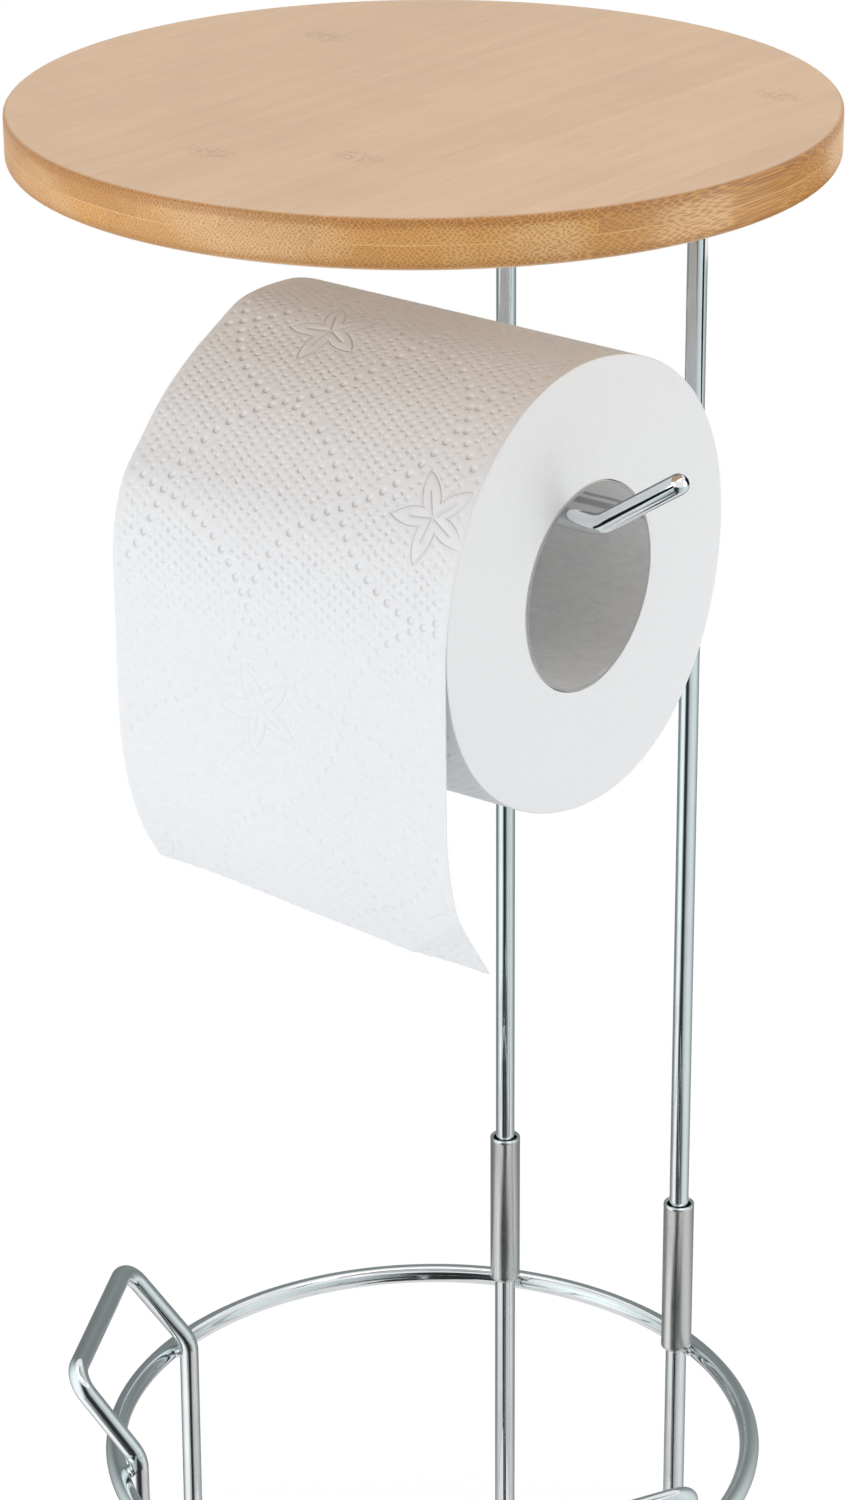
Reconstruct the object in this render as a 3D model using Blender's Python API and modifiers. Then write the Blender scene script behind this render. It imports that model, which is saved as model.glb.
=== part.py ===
# Toilet paper stand: a chromed wire stand with a round bamboo shelf on top.
# One roll hangs on a side arm under the shelf and spare rolls stack in the basket below.
# Units are metres, +Z is up, the origin is on the floor under the middle of the shelf.
# The two uprights are at the back (+Y), the roll pays out at the front (-Y),
# and the arm's free end points to +X.

from math import cos, hypot, pi, radians, sin, sqrt, tan

import bmesh
import bpy
from mathutils import Matrix, Vector

# Whole stand
stand_height = 0.600
fit_gap = 0.0003
cut_overrun = 0.002

# Bamboo shelf
shelf_diameter = 0.190
shelf_thickness = 0.0116
shelf_top_edge_radius = 0.0010
shelf_bottom_edge_radius = 0.0020

# Wire stock
upper_wire_diameter = 0.0050
lower_wire_diameter = 0.0055
ring_wire_diameter = 0.0050
guide_wire_diameter = 0.0050
arm_wire_diameter = 0.0050

# Uprights and the frame under the shelf
upright_spacing = 0.0566
upright_bend_radius = 0.010
shelf_frame_margin = 0.040
shelf_frame_corner_radius = 0.012

# Basket rings
ring_radius = 0.0820
basket_ring_height = 0.2455
base_ring_height = 0.0220

# Floor runs, the bent lower ends of the wire loops
floor_bend_radius = 0.010
floor_corner_radius = 0.008
floor_bar_distance = 0.022

# Basket guides
guide_angle_from_back = 117.0
guide_leg_spacing = 0.0526
guide_bar_spacing = 0.0442
guide_flare_reach = 0.0156
guide_flare_rise = 0.0199
guide_bend_above_ring = 0.0044
guide_bend_radius = 0.006

# Connecting sleeves
sleeve_length = 0.0441
sleeve_wall = 0.0010
sleeve_foot_radius = 0.0009
sleeve_lip_chamfer = 0.0003

# Fixing tabs and wood screws
tab_length = 0.016
tab_width = 0.014
tab_thickness = 0.0015
tab_corner_radius = 0.003
tab_front_offset = 0.025
tab_back_offset = 0.035
screw_shank_diameter = 0.0034
screw_tip_length = 0.0020
screw_head_diameter = 0.0070
screw_head_height = 0.0022
screw_head_round = 0.0009
screw_depth_in_shelf = 0.0080
screw_slot_width = 0.0009
screw_slot_length = 0.0040
screw_slot_depth = 0.0012

# Anti-slip feet
foot_length = 0.0120
foot_width = 0.0092
foot_skin = 0.0022
foot_grip_height = 0.0015
foot_edge_radius = 0.0010
foot_bend_clearance = 0.0020

# Roll of paper on its cardboard core
roll_diameter = 0.1104
roll_length = 0.0952
roll_edge_radius = 0.0015
core_inner_diameter = 0.0484
core_wall = 0.0007
roll_top_clearance = 0.0353
roll_back_clearance = 0.0138

# Roll arm
arm_rest_angle = 24.0
arm_side_clearance = 0.0100
arm_bend_radius = 0.010
arm_crossbar_overhang = 0.0012
arm_tip_clearance = 0.0084
arm_tip_bend_radius = 0.008
arm_tip_length = 0.028
arm_tip_angle = 34.0

# Hanging sheet
sheet_thickness = 0.0005
sheet_side_margin = 0.0002
sheet_straight_drop = 0.054
sheet_curl_radius = 0.0275
sheet_length_left = 0.0810
sheet_length_right = 0.0865

# Smoothness of the curved forms
bend_steps = 6
ring_segments = 64
shelf_segments = 96
roll_segments = 64
sleeve_segments = 24
screw_segments = 16
sheet_columns = 10
sheet_rows = 18

# Places that follow from the sizes
shelf_radius = shelf_diameter / 2
roll_radius = roll_diameter / 2
core_inner_radius = core_inner_diameter / 2
shelf_underside = stand_height - shelf_thickness
shelf_frame_height = shelf_underside - fit_gap - upper_wire_diameter / 2
shelf_frame_front = -(shelf_radius - shelf_frame_margin)
upright_x = upright_spacing / 2
lower_rod_reach = ring_radius - ring_wire_diameter / 2 - lower_wire_diameter / 2 - fit_gap
upright_y = sqrt(lower_rod_reach ** 2 - upright_x ** 2)
wire_floor_gap = foot_skin + fit_gap
guide_leg_reach = ring_radius - ring_wire_diameter / 2 - guide_wire_diameter / 2 - fit_gap
guide_leg_distance = sqrt(guide_leg_reach ** 2 - (guide_leg_spacing / 2) ** 2)

# The sleeve stands as low over the basket ring as its rounded foot lets it
sleeve_bore_radius = lower_wire_diameter / 2 + fit_gap
sleeve_radius = sleeve_bore_radius + sleeve_wall
sleeve_foot_inset = ring_radius - (hypot(upright_x, upright_y) + sleeve_radius - sleeve_foot_radius)
sleeve_foot_reach = ring_wire_diameter / 2 + sleeve_foot_radius + fit_gap
sleeve_foot_rise = sqrt(max(sleeve_foot_reach ** 2 - sleeve_foot_inset ** 2, 0))
sleeve_bottom = basket_ring_height + sleeve_foot_rise - sleeve_foot_radius
sleeve_top = sleeve_bottom + sleeve_length
rod_joint_height = (sleeve_bottom + sleeve_top) / 2

# The roll hangs between the shelf frame and the uprights, and the arm lies in the top of its core
roll_z = shelf_frame_height - upper_wire_diameter / 2 - roll_top_clearance - roll_radius
roll_y = upright_y - upper_wire_diameter / 2 - roll_back_clearance - roll_radius
arm_offset = core_inner_radius - arm_wire_diameter / 2 - fit_gap
arm_y = roll_y - arm_offset * sin(radians(arm_rest_angle))
arm_z = roll_z + arm_offset * cos(radians(arm_rest_angle))
crossbar_y = upright_y - upper_wire_diameter / 2 - arm_wire_diameter / 2 - fit_gap


# Removes the starting scene's objects
for old_object in list(bpy.data.objects):
    bpy.data.objects.remove(old_object, do_unlink=True)

stand_collection = bpy.data.collections.new("toilet_paper_stand")
cutter_collection = bpy.data.collections.new("cutters")
bpy.context.scene.collection.children.link(stand_collection)
bpy.context.scene.collection.children.link(cutter_collection)


def principled(name, color, roughness, metallic):
    """Makes one plain Principled material."""
    material = bpy.data.materials.new(name)
    material.use_nodes = True
    shader = material.node_tree.nodes["Principled BSDF"]
    shader.inputs["Base Color"].default_value = (*color, 1.0)
    shader.inputs["Roughness"].default_value = roughness
    shader.inputs["Metallic"].default_value = metallic
    material.diffuse_color = (*color, 1.0)
    return material


def add_object(name, data, material):
    """Links an object of the stand, with its own copy of the material's name."""
    piece = bpy.data.objects.new(name, data)
    data.materials.clear()
    data.materials.append(material)
    stand_collection.objects.link(piece)
    return piece


def add_cutter(name, data):
    """Links a cutter, which shapes other pieces and isn't part of the stand."""
    cutter = bpy.data.objects.new(name, data)
    cutter.hide_render = True
    cutter.display_type = "WIRE"
    cutter_collection.objects.link(cutter)
    return cutter


def cut(piece, cutter):
    """Takes the cutter's space out of a piece."""
    boolean = piece.modifiers.new("cut_" + cutter.name, "BOOLEAN")
    boolean.operation = "DIFFERENCE"
    boolean.solver = "EXACT"
    boolean.object = cutter


def box_mesh(name, size):
    """A box of the given size about the origin."""
    shape = bmesh.new()
    bmesh.ops.create_cube(shape, size=1.0, matrix=Matrix.Diagonal((*size, 1.0)))
    mesh = bpy.data.meshes.new(name)
    shape.to_mesh(mesh)
    shape.free()
    return mesh


def plate_mesh(name, size, corner_radius):
    """A flat plate about the origin, its upright edges rounded."""
    shape = bmesh.new()
    bmesh.ops.create_cube(shape, size=1.0, matrix=Matrix.Diagonal((*size, 1.0)))
    upright_edges = [edge for edge in shape.edges if edge.verts[0].co.xy == edge.verts[1].co.xy]
    bmesh.ops.bevel(shape, geom=upright_edges, offset=corner_radius, segments=3, profile=0.5, affect="EDGES")
    mesh = bpy.data.meshes.new(name)
    shape.to_mesh(mesh)
    shape.free()
    return mesh


def cylinder_mesh(name, radius, depth, segments):
    """A cylinder about the origin, along Z."""
    shape = bmesh.new()
    bmesh.ops.create_cone(shape, cap_ends=True, segments=segments, radius1=radius, radius2=radius, depth=depth)
    mesh = bpy.data.meshes.new(name)
    shape.to_mesh(mesh)
    shape.free()
    return mesh


def quarter_round(centre_r, centre_z, radius, start_degrees, steps):
    """Points of a quarter circle in a turned profile, run clockwise from the start angle."""
    points = []
    for step in range(steps + 1):
        angle = radians(start_degrees) - pi / 2 * step / steps
        points.append((centre_r + radius * cos(angle), centre_z + radius * sin(angle)))
    return points


def turned(name, profile, segments, material, closed):
    """Turns a profile of (radius, height) points about Z, its outer side running downwards."""
    vertices = [(r, 0.0, z) for r, z in profile]
    edges = [(i, i + 1) for i in range(len(profile) - 1)]
    if closed:
        edges.append((len(profile) - 1, 0))
    mesh = bpy.data.meshes.new(name)
    mesh.from_pydata(vertices, edges, [])
    piece = add_object(name, mesh, material)
    screw = piece.modifiers.new("turn", "SCREW")
    screw.axis = "Z"
    screw.angle = 2 * pi
    screw.steps = segments
    screw.render_steps = segments
    screw.use_merge_vertices = True
    screw.merge_threshold = 0.00001
    screw.use_smooth_shade = True
    return piece


def rounded_path(corners, closed=False):
    """Runs a path through corner points, each with a bend radius, and returns its points.

    A corner of radius r whose sides turn by an angle t starts r * tan(t / 2) before the corner,
    and its arc is traced about a centre on the inner side.
    """
    count = len(corners)
    points = []
    for index, (place, radius) in enumerate(corners):
        corner = Vector(place)
        at_end = not closed and index in (0, count - 1)
        if at_end or radius == 0:
            points.append(corner)
            continue
        before = Vector(corners[(index - 1) % count][0])
        after = Vector(corners[(index + 1) % count][0])
        inward = (corner - before).normalized()
        outward = (after - corner).normalized()
        turn = inward.angle(outward)
        setback = radius * tan(turn / 2)
        start = corner - inward * setback
        side = (outward - inward * inward.dot(outward)).normalized()
        for step in range(bend_steps + 1):
            angle = turn * step / bend_steps
            points.append(start + inward * radius * sin(angle) + side * radius * (1 - cos(angle)))
    return points


def wire(name, points, diameter, material, closed=False, end_radii=()):
    """A round wire along the points; end_radii thins its last points into a rounded end."""
    curve = bpy.data.curves.new(name, "CURVE")
    curve.dimensions = "3D"
    curve.bevel_depth = diameter / 2
    curve.bevel_resolution = 2
    curve.use_fill_caps = not closed
    spline = curve.splines.new("POLY")
    spline.points.add(len(points) - 1)
    for control, place in zip(spline.points, points):
        control.co = (*place, 1.0)
        control.radius = 1.0
    for control, thickness in zip(reversed(spline.points), end_radii):
        control.radius = thickness
    spline.use_cyclic_u = closed
    spline.use_smooth = True
    return add_object(name, curve, material)


def ring(name, radius, diameter, height, material):
    """A closed round ring of wire that lies level."""
    bpy.ops.mesh.primitive_torus_add(
        major_radius=radius,
        minor_radius=diameter / 2,
        major_segments=ring_segments,
        minor_segments=8,
    )
    made = bpy.context.active_object
    mesh = made.data
    bpy.data.objects.remove(made, do_unlink=True)
    mesh.shade_smooth()
    piece = add_object(name, mesh, material)
    piece.location = (0, 0, height)
    return piece


bamboo = principled("bamboo", (0.75, 0.52, 0.31), 0.45, 0.0)
chrome = principled("chrome", (0.80, 0.81, 0.83), 0.12, 1.0)
brushed_steel = principled("brushed_steel", (0.52, 0.51, 0.50), 0.38, 1.0)
zinc_steel = principled("zinc_steel", (0.62, 0.62, 0.60), 0.35, 1.0)
clear_grey_plastic = principled("foot_plastic", (0.70, 0.71, 0.72), 0.50, 0.0)
white_paper = principled("white_paper", (0.88, 0.88, 0.87), 0.90, 0.0)
grey_board = principled("grey_board", (0.42, 0.42, 0.42), 0.85, 0.0)


# Shelf: a turned bamboo disc with a crisp top edge and a softer lower edge
def shelf_profile():
    """The disc's outline from the middle of its top face round to the middle of its underside."""
    top_round = quarter_round(
        shelf_radius - shelf_top_edge_radius, stand_height - shelf_top_edge_radius, shelf_top_edge_radius, 90, 3
    )
    bottom_round = quarter_round(
        shelf_radius - shelf_bottom_edge_radius, shelf_underside + shelf_bottom_edge_radius,
        shelf_bottom_edge_radius, 0, 4,
    )
    return [(0, stand_height)] + top_round + bottom_round + [(0, shelf_underside)]


shelf = turned("bamboo_shelf", shelf_profile(), shelf_segments, bamboo, closed=False)


# Upper frame: one wire that rises as two uprights, bends forward and joins in a U under the shelf
upper_frame_corners = [
    ((-upright_x, upright_y, rod_joint_height + fit_gap / 2), 0),
    ((-upright_x, upright_y, shelf_frame_height), upright_bend_radius),
    ((-upright_x, shelf_frame_front, shelf_frame_height), shelf_frame_corner_radius),
    ((upright_x, shelf_frame_front, shelf_frame_height), shelf_frame_corner_radius),
    ((upright_x, upright_y, shelf_frame_height), upright_bend_radius),
    ((upright_x, upright_y, rod_joint_height + fit_gap / 2), 0),
]
wire("upper_frame", rounded_path(upper_frame_corners), upper_wire_diameter, chrome)


# Lower frame: one wire with two rods that bend inwards at the floor and join in a bar
lower_run_height = wire_floor_gap + lower_wire_diameter / 2
lower_frame_corners = [
    ((-upright_x, upright_y, rod_joint_height - fit_gap / 2), 0),
    ((-upright_x, upright_y, lower_run_height), floor_bend_radius),
    ((-upright_x, floor_bar_distance, lower_run_height), floor_corner_radius),
    ((upright_x, floor_bar_distance, lower_run_height), floor_corner_radius),
    ((upright_x, upright_y, lower_run_height), floor_bend_radius),
    ((upright_x, upright_y, rod_joint_height - fit_gap / 2), 0),
]
wire("lower_frame", rounded_path(lower_frame_corners), lower_wire_diameter, chrome)


# Basket guides: closed wire loops whose tops flare outwards to lead a spare roll in
guide_run_height = wire_floor_gap + guide_wire_diameter / 2
guide_bend_height = basket_ring_height + guide_bend_above_ring
guide_top_height = guide_bend_height + guide_flare_rise
guide_top_distance = guide_leg_distance + guide_flare_reach


def guide_corners():
    """The loop's corners with X outwards from the stand's middle and Y along the top bar."""
    half = [
        ((guide_top_distance, guide_bar_spacing / 2, guide_top_height), guide_bend_radius),
        ((guide_leg_distance, guide_leg_spacing / 2, guide_bend_height), guide_bend_radius),
        ((guide_leg_distance, guide_leg_spacing / 2, guide_run_height), floor_bend_radius),
        ((floor_bar_distance, guide_leg_spacing / 2, guide_run_height), floor_corner_radius),
    ]
    other_half = [((x, -y, z), radius) for (x, y, z), radius in reversed(half)]
    return half + other_half


guide_directions = {"left": 90 + guide_angle_from_back, "right": 90 - guide_angle_from_back}
for side_name, direction in guide_directions.items():
    guide = wire(
        "basket_guide_" + side_name,
        rounded_path(guide_corners(), closed=True),
        guide_wire_diameter,
        chrome,
        closed=True,
    )
    guide.rotation_euler = (0, 0, radians(direction))


# Rings: the rods and guide legs stand inside them and are welded to them
ring("basket_ring", ring_radius, ring_wire_diameter, basket_ring_height, chrome)
ring("base_ring", ring_radius, ring_wire_diameter, base_ring_height, chrome)


# Sleeves: short tubes on the lower rods that the uprights plug into
def sleeve_profile():
    """A tube's wall with a rounded foot and a chamfered lip, outer side first."""
    outer_top = [
        (sleeve_radius - sleeve_lip_chamfer, sleeve_length),
        (sleeve_radius, sleeve_length - sleeve_lip_chamfer),
    ]
    foot_radius = min(sleeve_foot_radius, sleeve_wall)
    foot = [
        (sleeve_radius - foot_radius + foot_radius * cos(angle), foot_radius - foot_radius * sin(angle))
        for angle in (0, pi / 8, pi / 4, 3 * pi / 8, pi / 2)
    ]
    if foot_radius < sleeve_wall:
        foot.append((sleeve_bore_radius, 0))
    return outer_top + foot + [(sleeve_bore_radius, sleeve_length)]


for side_name, side in (("left", -1), ("right", 1)):
    sleeve = turned("sleeve_" + side_name, sleeve_profile(), sleeve_segments, brushed_steel, closed=True)
    sleeve.location = (side * upright_x, upright_y, sleeve_bottom)


# Roll arm: a crossbar welded in front of the uprights, round the roll's left end and through its core
tip_direction = Vector((cos(radians(arm_tip_angle)), 0, sin(radians(arm_tip_angle))))
tip_corner = Vector((roll_length / 2 + arm_tip_clearance, arm_y, arm_z))
arm_left_x = -(roll_length / 2 + arm_side_clearance + arm_wire_diameter / 2)
tip_round_steps = (0.0, 0.35, 0.65, 0.88)
tip_dome_start = arm_tip_length - arm_wire_diameter / 2
arm_path = rounded_path([
    ((upright_x + arm_crossbar_overhang, crossbar_y, arm_z), 0),
    ((arm_left_x, crossbar_y, arm_z), arm_bend_radius),
    ((arm_left_x, arm_y, arm_z), arm_bend_radius),
    (tip_corner, arm_tip_bend_radius),
    (tip_corner + tip_direction * tip_dome_start, 0),
])
arm_path.pop()
arm_path += [
    tip_corner + tip_direction * (tip_dome_start + share * arm_wire_diameter / 2) for share in tip_round_steps
]
dome_radii = [sqrt(1 - share ** 2) for share in reversed(tip_round_steps)]
wire("roll_arm", arm_path, arm_wire_diameter, chrome, end_radii=dome_radii)


# Fixing tabs and screws: flat tabs welded inside the shelf frame carry a wood screw each
tab_x = upright_x - upper_wire_diameter / 2 - fit_gap - tab_width / 2
tab_stations = {
    "front_left": (-tab_x, shelf_frame_front + tab_front_offset),
    "front_right": (tab_x, shelf_frame_front + tab_front_offset),
    "back_left": (-tab_x, upright_y - tab_back_offset),
    "back_right": (tab_x, upright_y - tab_back_offset),
}
tab_height = shelf_underside - fit_gap - tab_thickness / 2
tab_underside = tab_height - tab_thickness / 2
screw_hole_radius = screw_shank_diameter / 2 + fit_gap
screw_length = tab_thickness + 2 * fit_gap + screw_depth_in_shelf


def screw_profile():
    """A pan-head wood screw that points up: its tip, shank and head, outer side running down."""
    head_radius = screw_head_diameter / 2
    shank_radius = screw_shank_diameter / 2
    return [
        (0, screw_length),
        (shank_radius, screw_length - screw_tip_length),
        (shank_radius, 0),
        (head_radius, 0),
        (head_radius, -(screw_head_height - screw_head_round)),
        (head_radius - screw_head_round / 3, -(screw_head_height - screw_head_round / 3)),
        (head_radius - screw_head_round, -screw_head_height),
        (0, -screw_head_height),
    ]


slot_height = 2 * screw_slot_depth
for station, (tab_centre_x, tab_centre_y) in tab_stations.items():
    tab_plate = plate_mesh("tab", (tab_width, tab_length, tab_thickness), tab_corner_radius)
    tab = add_object("shelf_tab_" + station, tab_plate, zinc_steel)
    tab.location = (tab_centre_x, tab_centre_y, tab_height)
    tab_hole = add_cutter(
        "tab_hole_" + station,
        cylinder_mesh("tab_hole", screw_hole_radius, tab_thickness + cut_overrun, screw_segments),
    )
    tab_hole.location = tab.location
    cut(tab, tab_hole)

    pilot_depth = screw_depth_in_shelf + 2 * fit_gap
    pilot = add_cutter(
        "pilot_hole_" + station,
        cylinder_mesh("pilot_hole", screw_hole_radius, pilot_depth + cut_overrun, screw_segments),
    )
    pilot.location = (tab_centre_x, tab_centre_y, shelf_underside + (pilot_depth - cut_overrun) / 2)
    cut(shelf, pilot)

    screw_piece = turned("shelf_screw_" + station, screw_profile(), screw_segments, zinc_steel, closed=False)
    screw_piece.location = (tab_centre_x, tab_centre_y, tab_underside - fit_gap)
    for turn_index in range(2):
        size = (screw_slot_length, screw_slot_width, slot_height)
        slot_name = "screw_slot_" + station + "_" + str(turn_index)
        slot = add_cutter(slot_name, box_mesh("screw_slot", size))
        slot.location = (tab_centre_x, tab_centre_y, tab_underside - fit_gap - screw_head_height)
        slot.rotation_euler = (0, 0, pi / 2 * turn_index)
        cut(screw_piece, slot)


# Feet: moulded pads that clip on the floor runs just inside their bends
def foot(name, direction, distance, offset, wire_diameter):
    """One pad on a run that points from the stand's middle in the given direction."""
    run_height = wire_floor_gap + wire_diameter / 2
    pad_height = run_height + foot_grip_height
    outward = Vector((cos(radians(direction)), sin(radians(direction)), 0))
    across = Vector((-outward.y, outward.x, 0))
    place = outward * distance + across * offset
    pad = add_object(name, box_mesh("foot", (foot_length, foot_width, pad_height)), clear_grey_plastic)
    pad.location = place + Vector((0, 0, pad_height / 2))
    pad.rotation_euler = (0, 0, radians(direction))
    edge = pad.modifiers.new("edge", "BEVEL")
    edge.width = foot_edge_radius
    edge.segments = 2
    edge.limit_method = "ANGLE"
    channel = add_cutter(
        "channel_" + name,
        cylinder_mesh("channel", wire_diameter / 2 + fit_gap, foot_length + cut_overrun, 16),
    )
    channel.matrix_world = (
        Matrix.Translation(place + Vector((0, 0, run_height)))
        @ Matrix.Rotation(radians(direction), 4, "Z")
        @ Matrix.Rotation(pi / 2, 4, "Y")
    )
    cut(pad, channel)
    return pad


foot_inset = floor_bend_radius + foot_bend_clearance + foot_length / 2
foot_runs = {
    "back": (90, upright_y - foot_inset, upright_x, lower_wire_diameter),
    "left": (guide_directions["left"], guide_leg_distance - foot_inset, guide_leg_spacing / 2, guide_wire_diameter),
    "right": (guide_directions["right"], guide_leg_distance - foot_inset, guide_leg_spacing / 2, guide_wire_diameter),
}
for run_name, (direction, distance, offset, wire_diameter) in foot_runs.items():
    for foot_index, side in enumerate((1, -1)):
        foot("foot_" + run_name + "_" + str(foot_index + 1), direction, distance, side * offset, wire_diameter)


# Roll: its core and its paper turn together about the roll's own axis
roll_axis = bpy.data.objects.new("roll_axis", None)
roll_axis.location = (0, roll_y, roll_z)
roll_axis.rotation_euler = (0, pi / 2, 0)
stand_collection.objects.link(roll_axis)


def tube_profile(inner_radius, outer_radius, length, edge_radius):
    """A tube's wall about the middle of its length, with rounded outer edges."""
    top = quarter_round(outer_radius - edge_radius, length / 2 - edge_radius, edge_radius, 90, 3)
    bottom = quarter_round(outer_radius - edge_radius, edge_radius - length / 2, edge_radius, 0, 3)
    return top + bottom + [(inner_radius, -length / 2), (inner_radius, length / 2)]


core_outer_radius = core_inner_radius + core_wall
core_edge_radius = core_wall / 3
core = turned(
    "cardboard_core",
    tube_profile(core_inner_radius, core_outer_radius, roll_length, core_edge_radius),
    roll_segments,
    grey_board,
    closed=True,
)
core.parent = roll_axis
paper = turned(
    "paper_roll",
    tube_profile(core_outer_radius + fit_gap, roll_radius, roll_length, roll_edge_radius),
    roll_segments,
    white_paper,
    closed=True,
)
paper.parent = roll_axis


# Hanging sheet: the roll's free end, straight down from its front, then curling back
sheet_hinge = bpy.data.objects.new("sheet_hinge", None)
sheet_hinge.location = (0, roll_y - roll_radius - fit_gap - sheet_thickness / 2, roll_z)
stand_collection.objects.link(sheet_hinge)


def sheet_point(across_share, down_share):
    """A point of the sheet: it drops straight, then follows an arc backwards."""
    width = roll_length - 2 * sheet_side_margin
    length = sheet_length_left + (sheet_length_right - sheet_length_left) * across_share ** 2
    down = length * down_share
    bend = max(down - sheet_straight_drop, 0) / sheet_curl_radius
    return Vector((
        (across_share - 1 / 2) * width,
        sheet_curl_radius * (1 - cos(bend)),
        -(min(down, sheet_straight_drop) + sheet_curl_radius * sin(bend)),
    ))


def sheet_mesh():
    """A flat grid whose points are moved to the hanging sheet's shape."""
    shape = bmesh.new()
    bmesh.ops.create_grid(shape, x_segments=sheet_columns, y_segments=sheet_rows, size=1 / 2)
    for vertex in shape.verts:
        vertex.co = sheet_point(vertex.co.x + 1 / 2, 1 / 2 - vertex.co.y)
    mesh = bpy.data.meshes.new("hanging_sheet")
    shape.to_mesh(mesh)
    shape.free()
    mesh.shade_smooth()
    return mesh


sheet = add_object("hanging_sheet", sheet_mesh(), white_paper)
sheet.parent = sheet_hinge
wall = sheet.modifiers.new("thickness", "SOLIDIFY")
wall.thickness = sheet_thickness
wall.offset = 0
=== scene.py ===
from math import cos, pi, radians, sin, tan

import bpy
import numpy as np
from mathutils import Matrix, Vector


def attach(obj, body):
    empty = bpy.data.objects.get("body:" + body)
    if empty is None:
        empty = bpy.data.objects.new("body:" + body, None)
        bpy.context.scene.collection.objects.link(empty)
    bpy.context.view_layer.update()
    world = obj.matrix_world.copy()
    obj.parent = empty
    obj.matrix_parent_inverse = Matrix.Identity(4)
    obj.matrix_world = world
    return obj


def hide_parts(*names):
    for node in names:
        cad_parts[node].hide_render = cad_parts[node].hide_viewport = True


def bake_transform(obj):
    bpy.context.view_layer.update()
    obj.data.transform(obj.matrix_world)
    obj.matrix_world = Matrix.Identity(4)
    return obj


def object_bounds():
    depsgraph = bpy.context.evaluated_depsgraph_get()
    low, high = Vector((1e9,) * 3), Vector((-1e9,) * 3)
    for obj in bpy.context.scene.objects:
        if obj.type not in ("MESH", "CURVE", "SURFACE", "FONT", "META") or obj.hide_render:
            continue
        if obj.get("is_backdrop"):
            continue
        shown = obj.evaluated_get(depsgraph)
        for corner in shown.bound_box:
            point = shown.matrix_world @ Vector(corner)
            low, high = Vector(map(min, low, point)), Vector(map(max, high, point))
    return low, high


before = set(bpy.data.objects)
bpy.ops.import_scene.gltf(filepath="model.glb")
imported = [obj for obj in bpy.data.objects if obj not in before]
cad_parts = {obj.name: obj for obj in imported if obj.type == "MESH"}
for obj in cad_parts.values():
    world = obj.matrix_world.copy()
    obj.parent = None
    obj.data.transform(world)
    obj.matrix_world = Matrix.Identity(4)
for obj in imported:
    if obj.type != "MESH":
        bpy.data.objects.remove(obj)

cad_box = [list(corner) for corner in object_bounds()]


# Studio: the stand is seen from its front right and a little above, on a white floor in soft light.
# A wide lamp stands at the front left, a weaker one at the right and one overhead, and dark and grey
# boards that only polished metal reflects give the chrome its bands.
camera_place = (0.57245, -0.75683, 0.85232)
camera_azimuth = radians(37.1212)
camera_pitch = radians(23.5263)
camera_roll = radians(-0.3930)
camera_lens = 102.878

camera_forward = Vector((
    -sin(camera_azimuth) * cos(camera_pitch),
    cos(camera_azimuth) * cos(camera_pitch),
    -sin(camera_pitch),
))
camera_right = Vector((cos(camera_azimuth), sin(camera_azimuth), 0))
camera_up = camera_right.cross(camera_forward)
camera_turn = Matrix((camera_right, camera_up, -camera_forward)).transposed()
camera_turn = camera_turn @ Matrix.Rotation(camera_roll, 3, "Z")
camera_data = bpy.data.cameras.new("camera")
camera_data.lens = camera_lens
camera_data.sensor_width = 36
camera_data.clip_end = 100
camera = bpy.data.objects.new("camera", camera_data)
camera.matrix_world = Matrix.Translation(camera_place) @ camera_turn.to_4x4()
bpy.context.scene.collection.objects.link(camera)
bpy.context.scene.camera = camera
bpy.context.scene.view_settings.view_transform = "Standard"


def fill(node, inputs):
    """Gives each named input of a shader node a value or a link; a colour may leave out its opacity."""
    for key, value in inputs.items():
        value = getattr(value, "socket", value)
        if isinstance(value, bpy.types.NodeSocket):
            node.id_data.links.new(value, node.inputs[key])
        elif node.inputs[key].type == "RGBA":
            node.inputs[key].default_value = (*value[:3], 1)
        else:
            node.inputs[key].default_value = value


def add_node(kind, inputs, tree=None, **settings):
    """Adds a shader node to a tree, or to the tree that its first link comes from."""
    for value in inputs.values():
        value = getattr(value, "socket", value)
        if tree is None and isinstance(value, bpy.types.NodeSocket):
            tree = value.id_data
    made = tree.nodes.new(kind)
    for key, value in settings.items():
        setattr(made, key, value)
    fill(made, inputs)
    return made


def calc(operation, *values, clamp=False):
    """A Math node's result."""
    made = add_node("ShaderNodeMath", dict(enumerate(values)), operation=operation, use_clamp=clamp)
    return Reading(made.outputs[0])


class Reading:
    """A number that a material works out at each point of a surface; sums with it are Math nodes."""

    def __init__(self, socket):
        self.socket = socket

    def __add__(self, other):
        return calc("ADD", self, other)

    def __sub__(self, other):
        return calc("SUBTRACT", self, other)

    def __rsub__(self, other):
        return calc("SUBTRACT", other, self)

    def __mul__(self, other):
        return calc("MULTIPLY", self, other)

    def __truediv__(self, other):
        return calc("DIVIDE", self, other)

    def __mod__(self, other):
        return calc("FLOORED_MODULO", self, other)

    def __lt__(self, other):
        return calc("LESS_THAN", self, other)

    def __gt__(self, other):
        return calc("GREATER_THAN", self, other)

    def __abs__(self):
        return calc("ABSOLUTE", self)

    def __round__(self):
        return calc("ROUND", self)


def spread(value, low, high, to_low=0.0, to_high=1.0, smooth=False):
    """A number brought from one range to another and held in it, along a straight line or a smooth step."""
    made = add_node(
        "ShaderNodeMapRange",
        {"Value": value, "From Min": low, "From Max": high, "To Min": to_low, "To Max": to_high},
        interpolation_type="SMOOTHSTEP" if smooth else "LINEAR",
    )
    return Reading(made.outputs["Result"])


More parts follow.
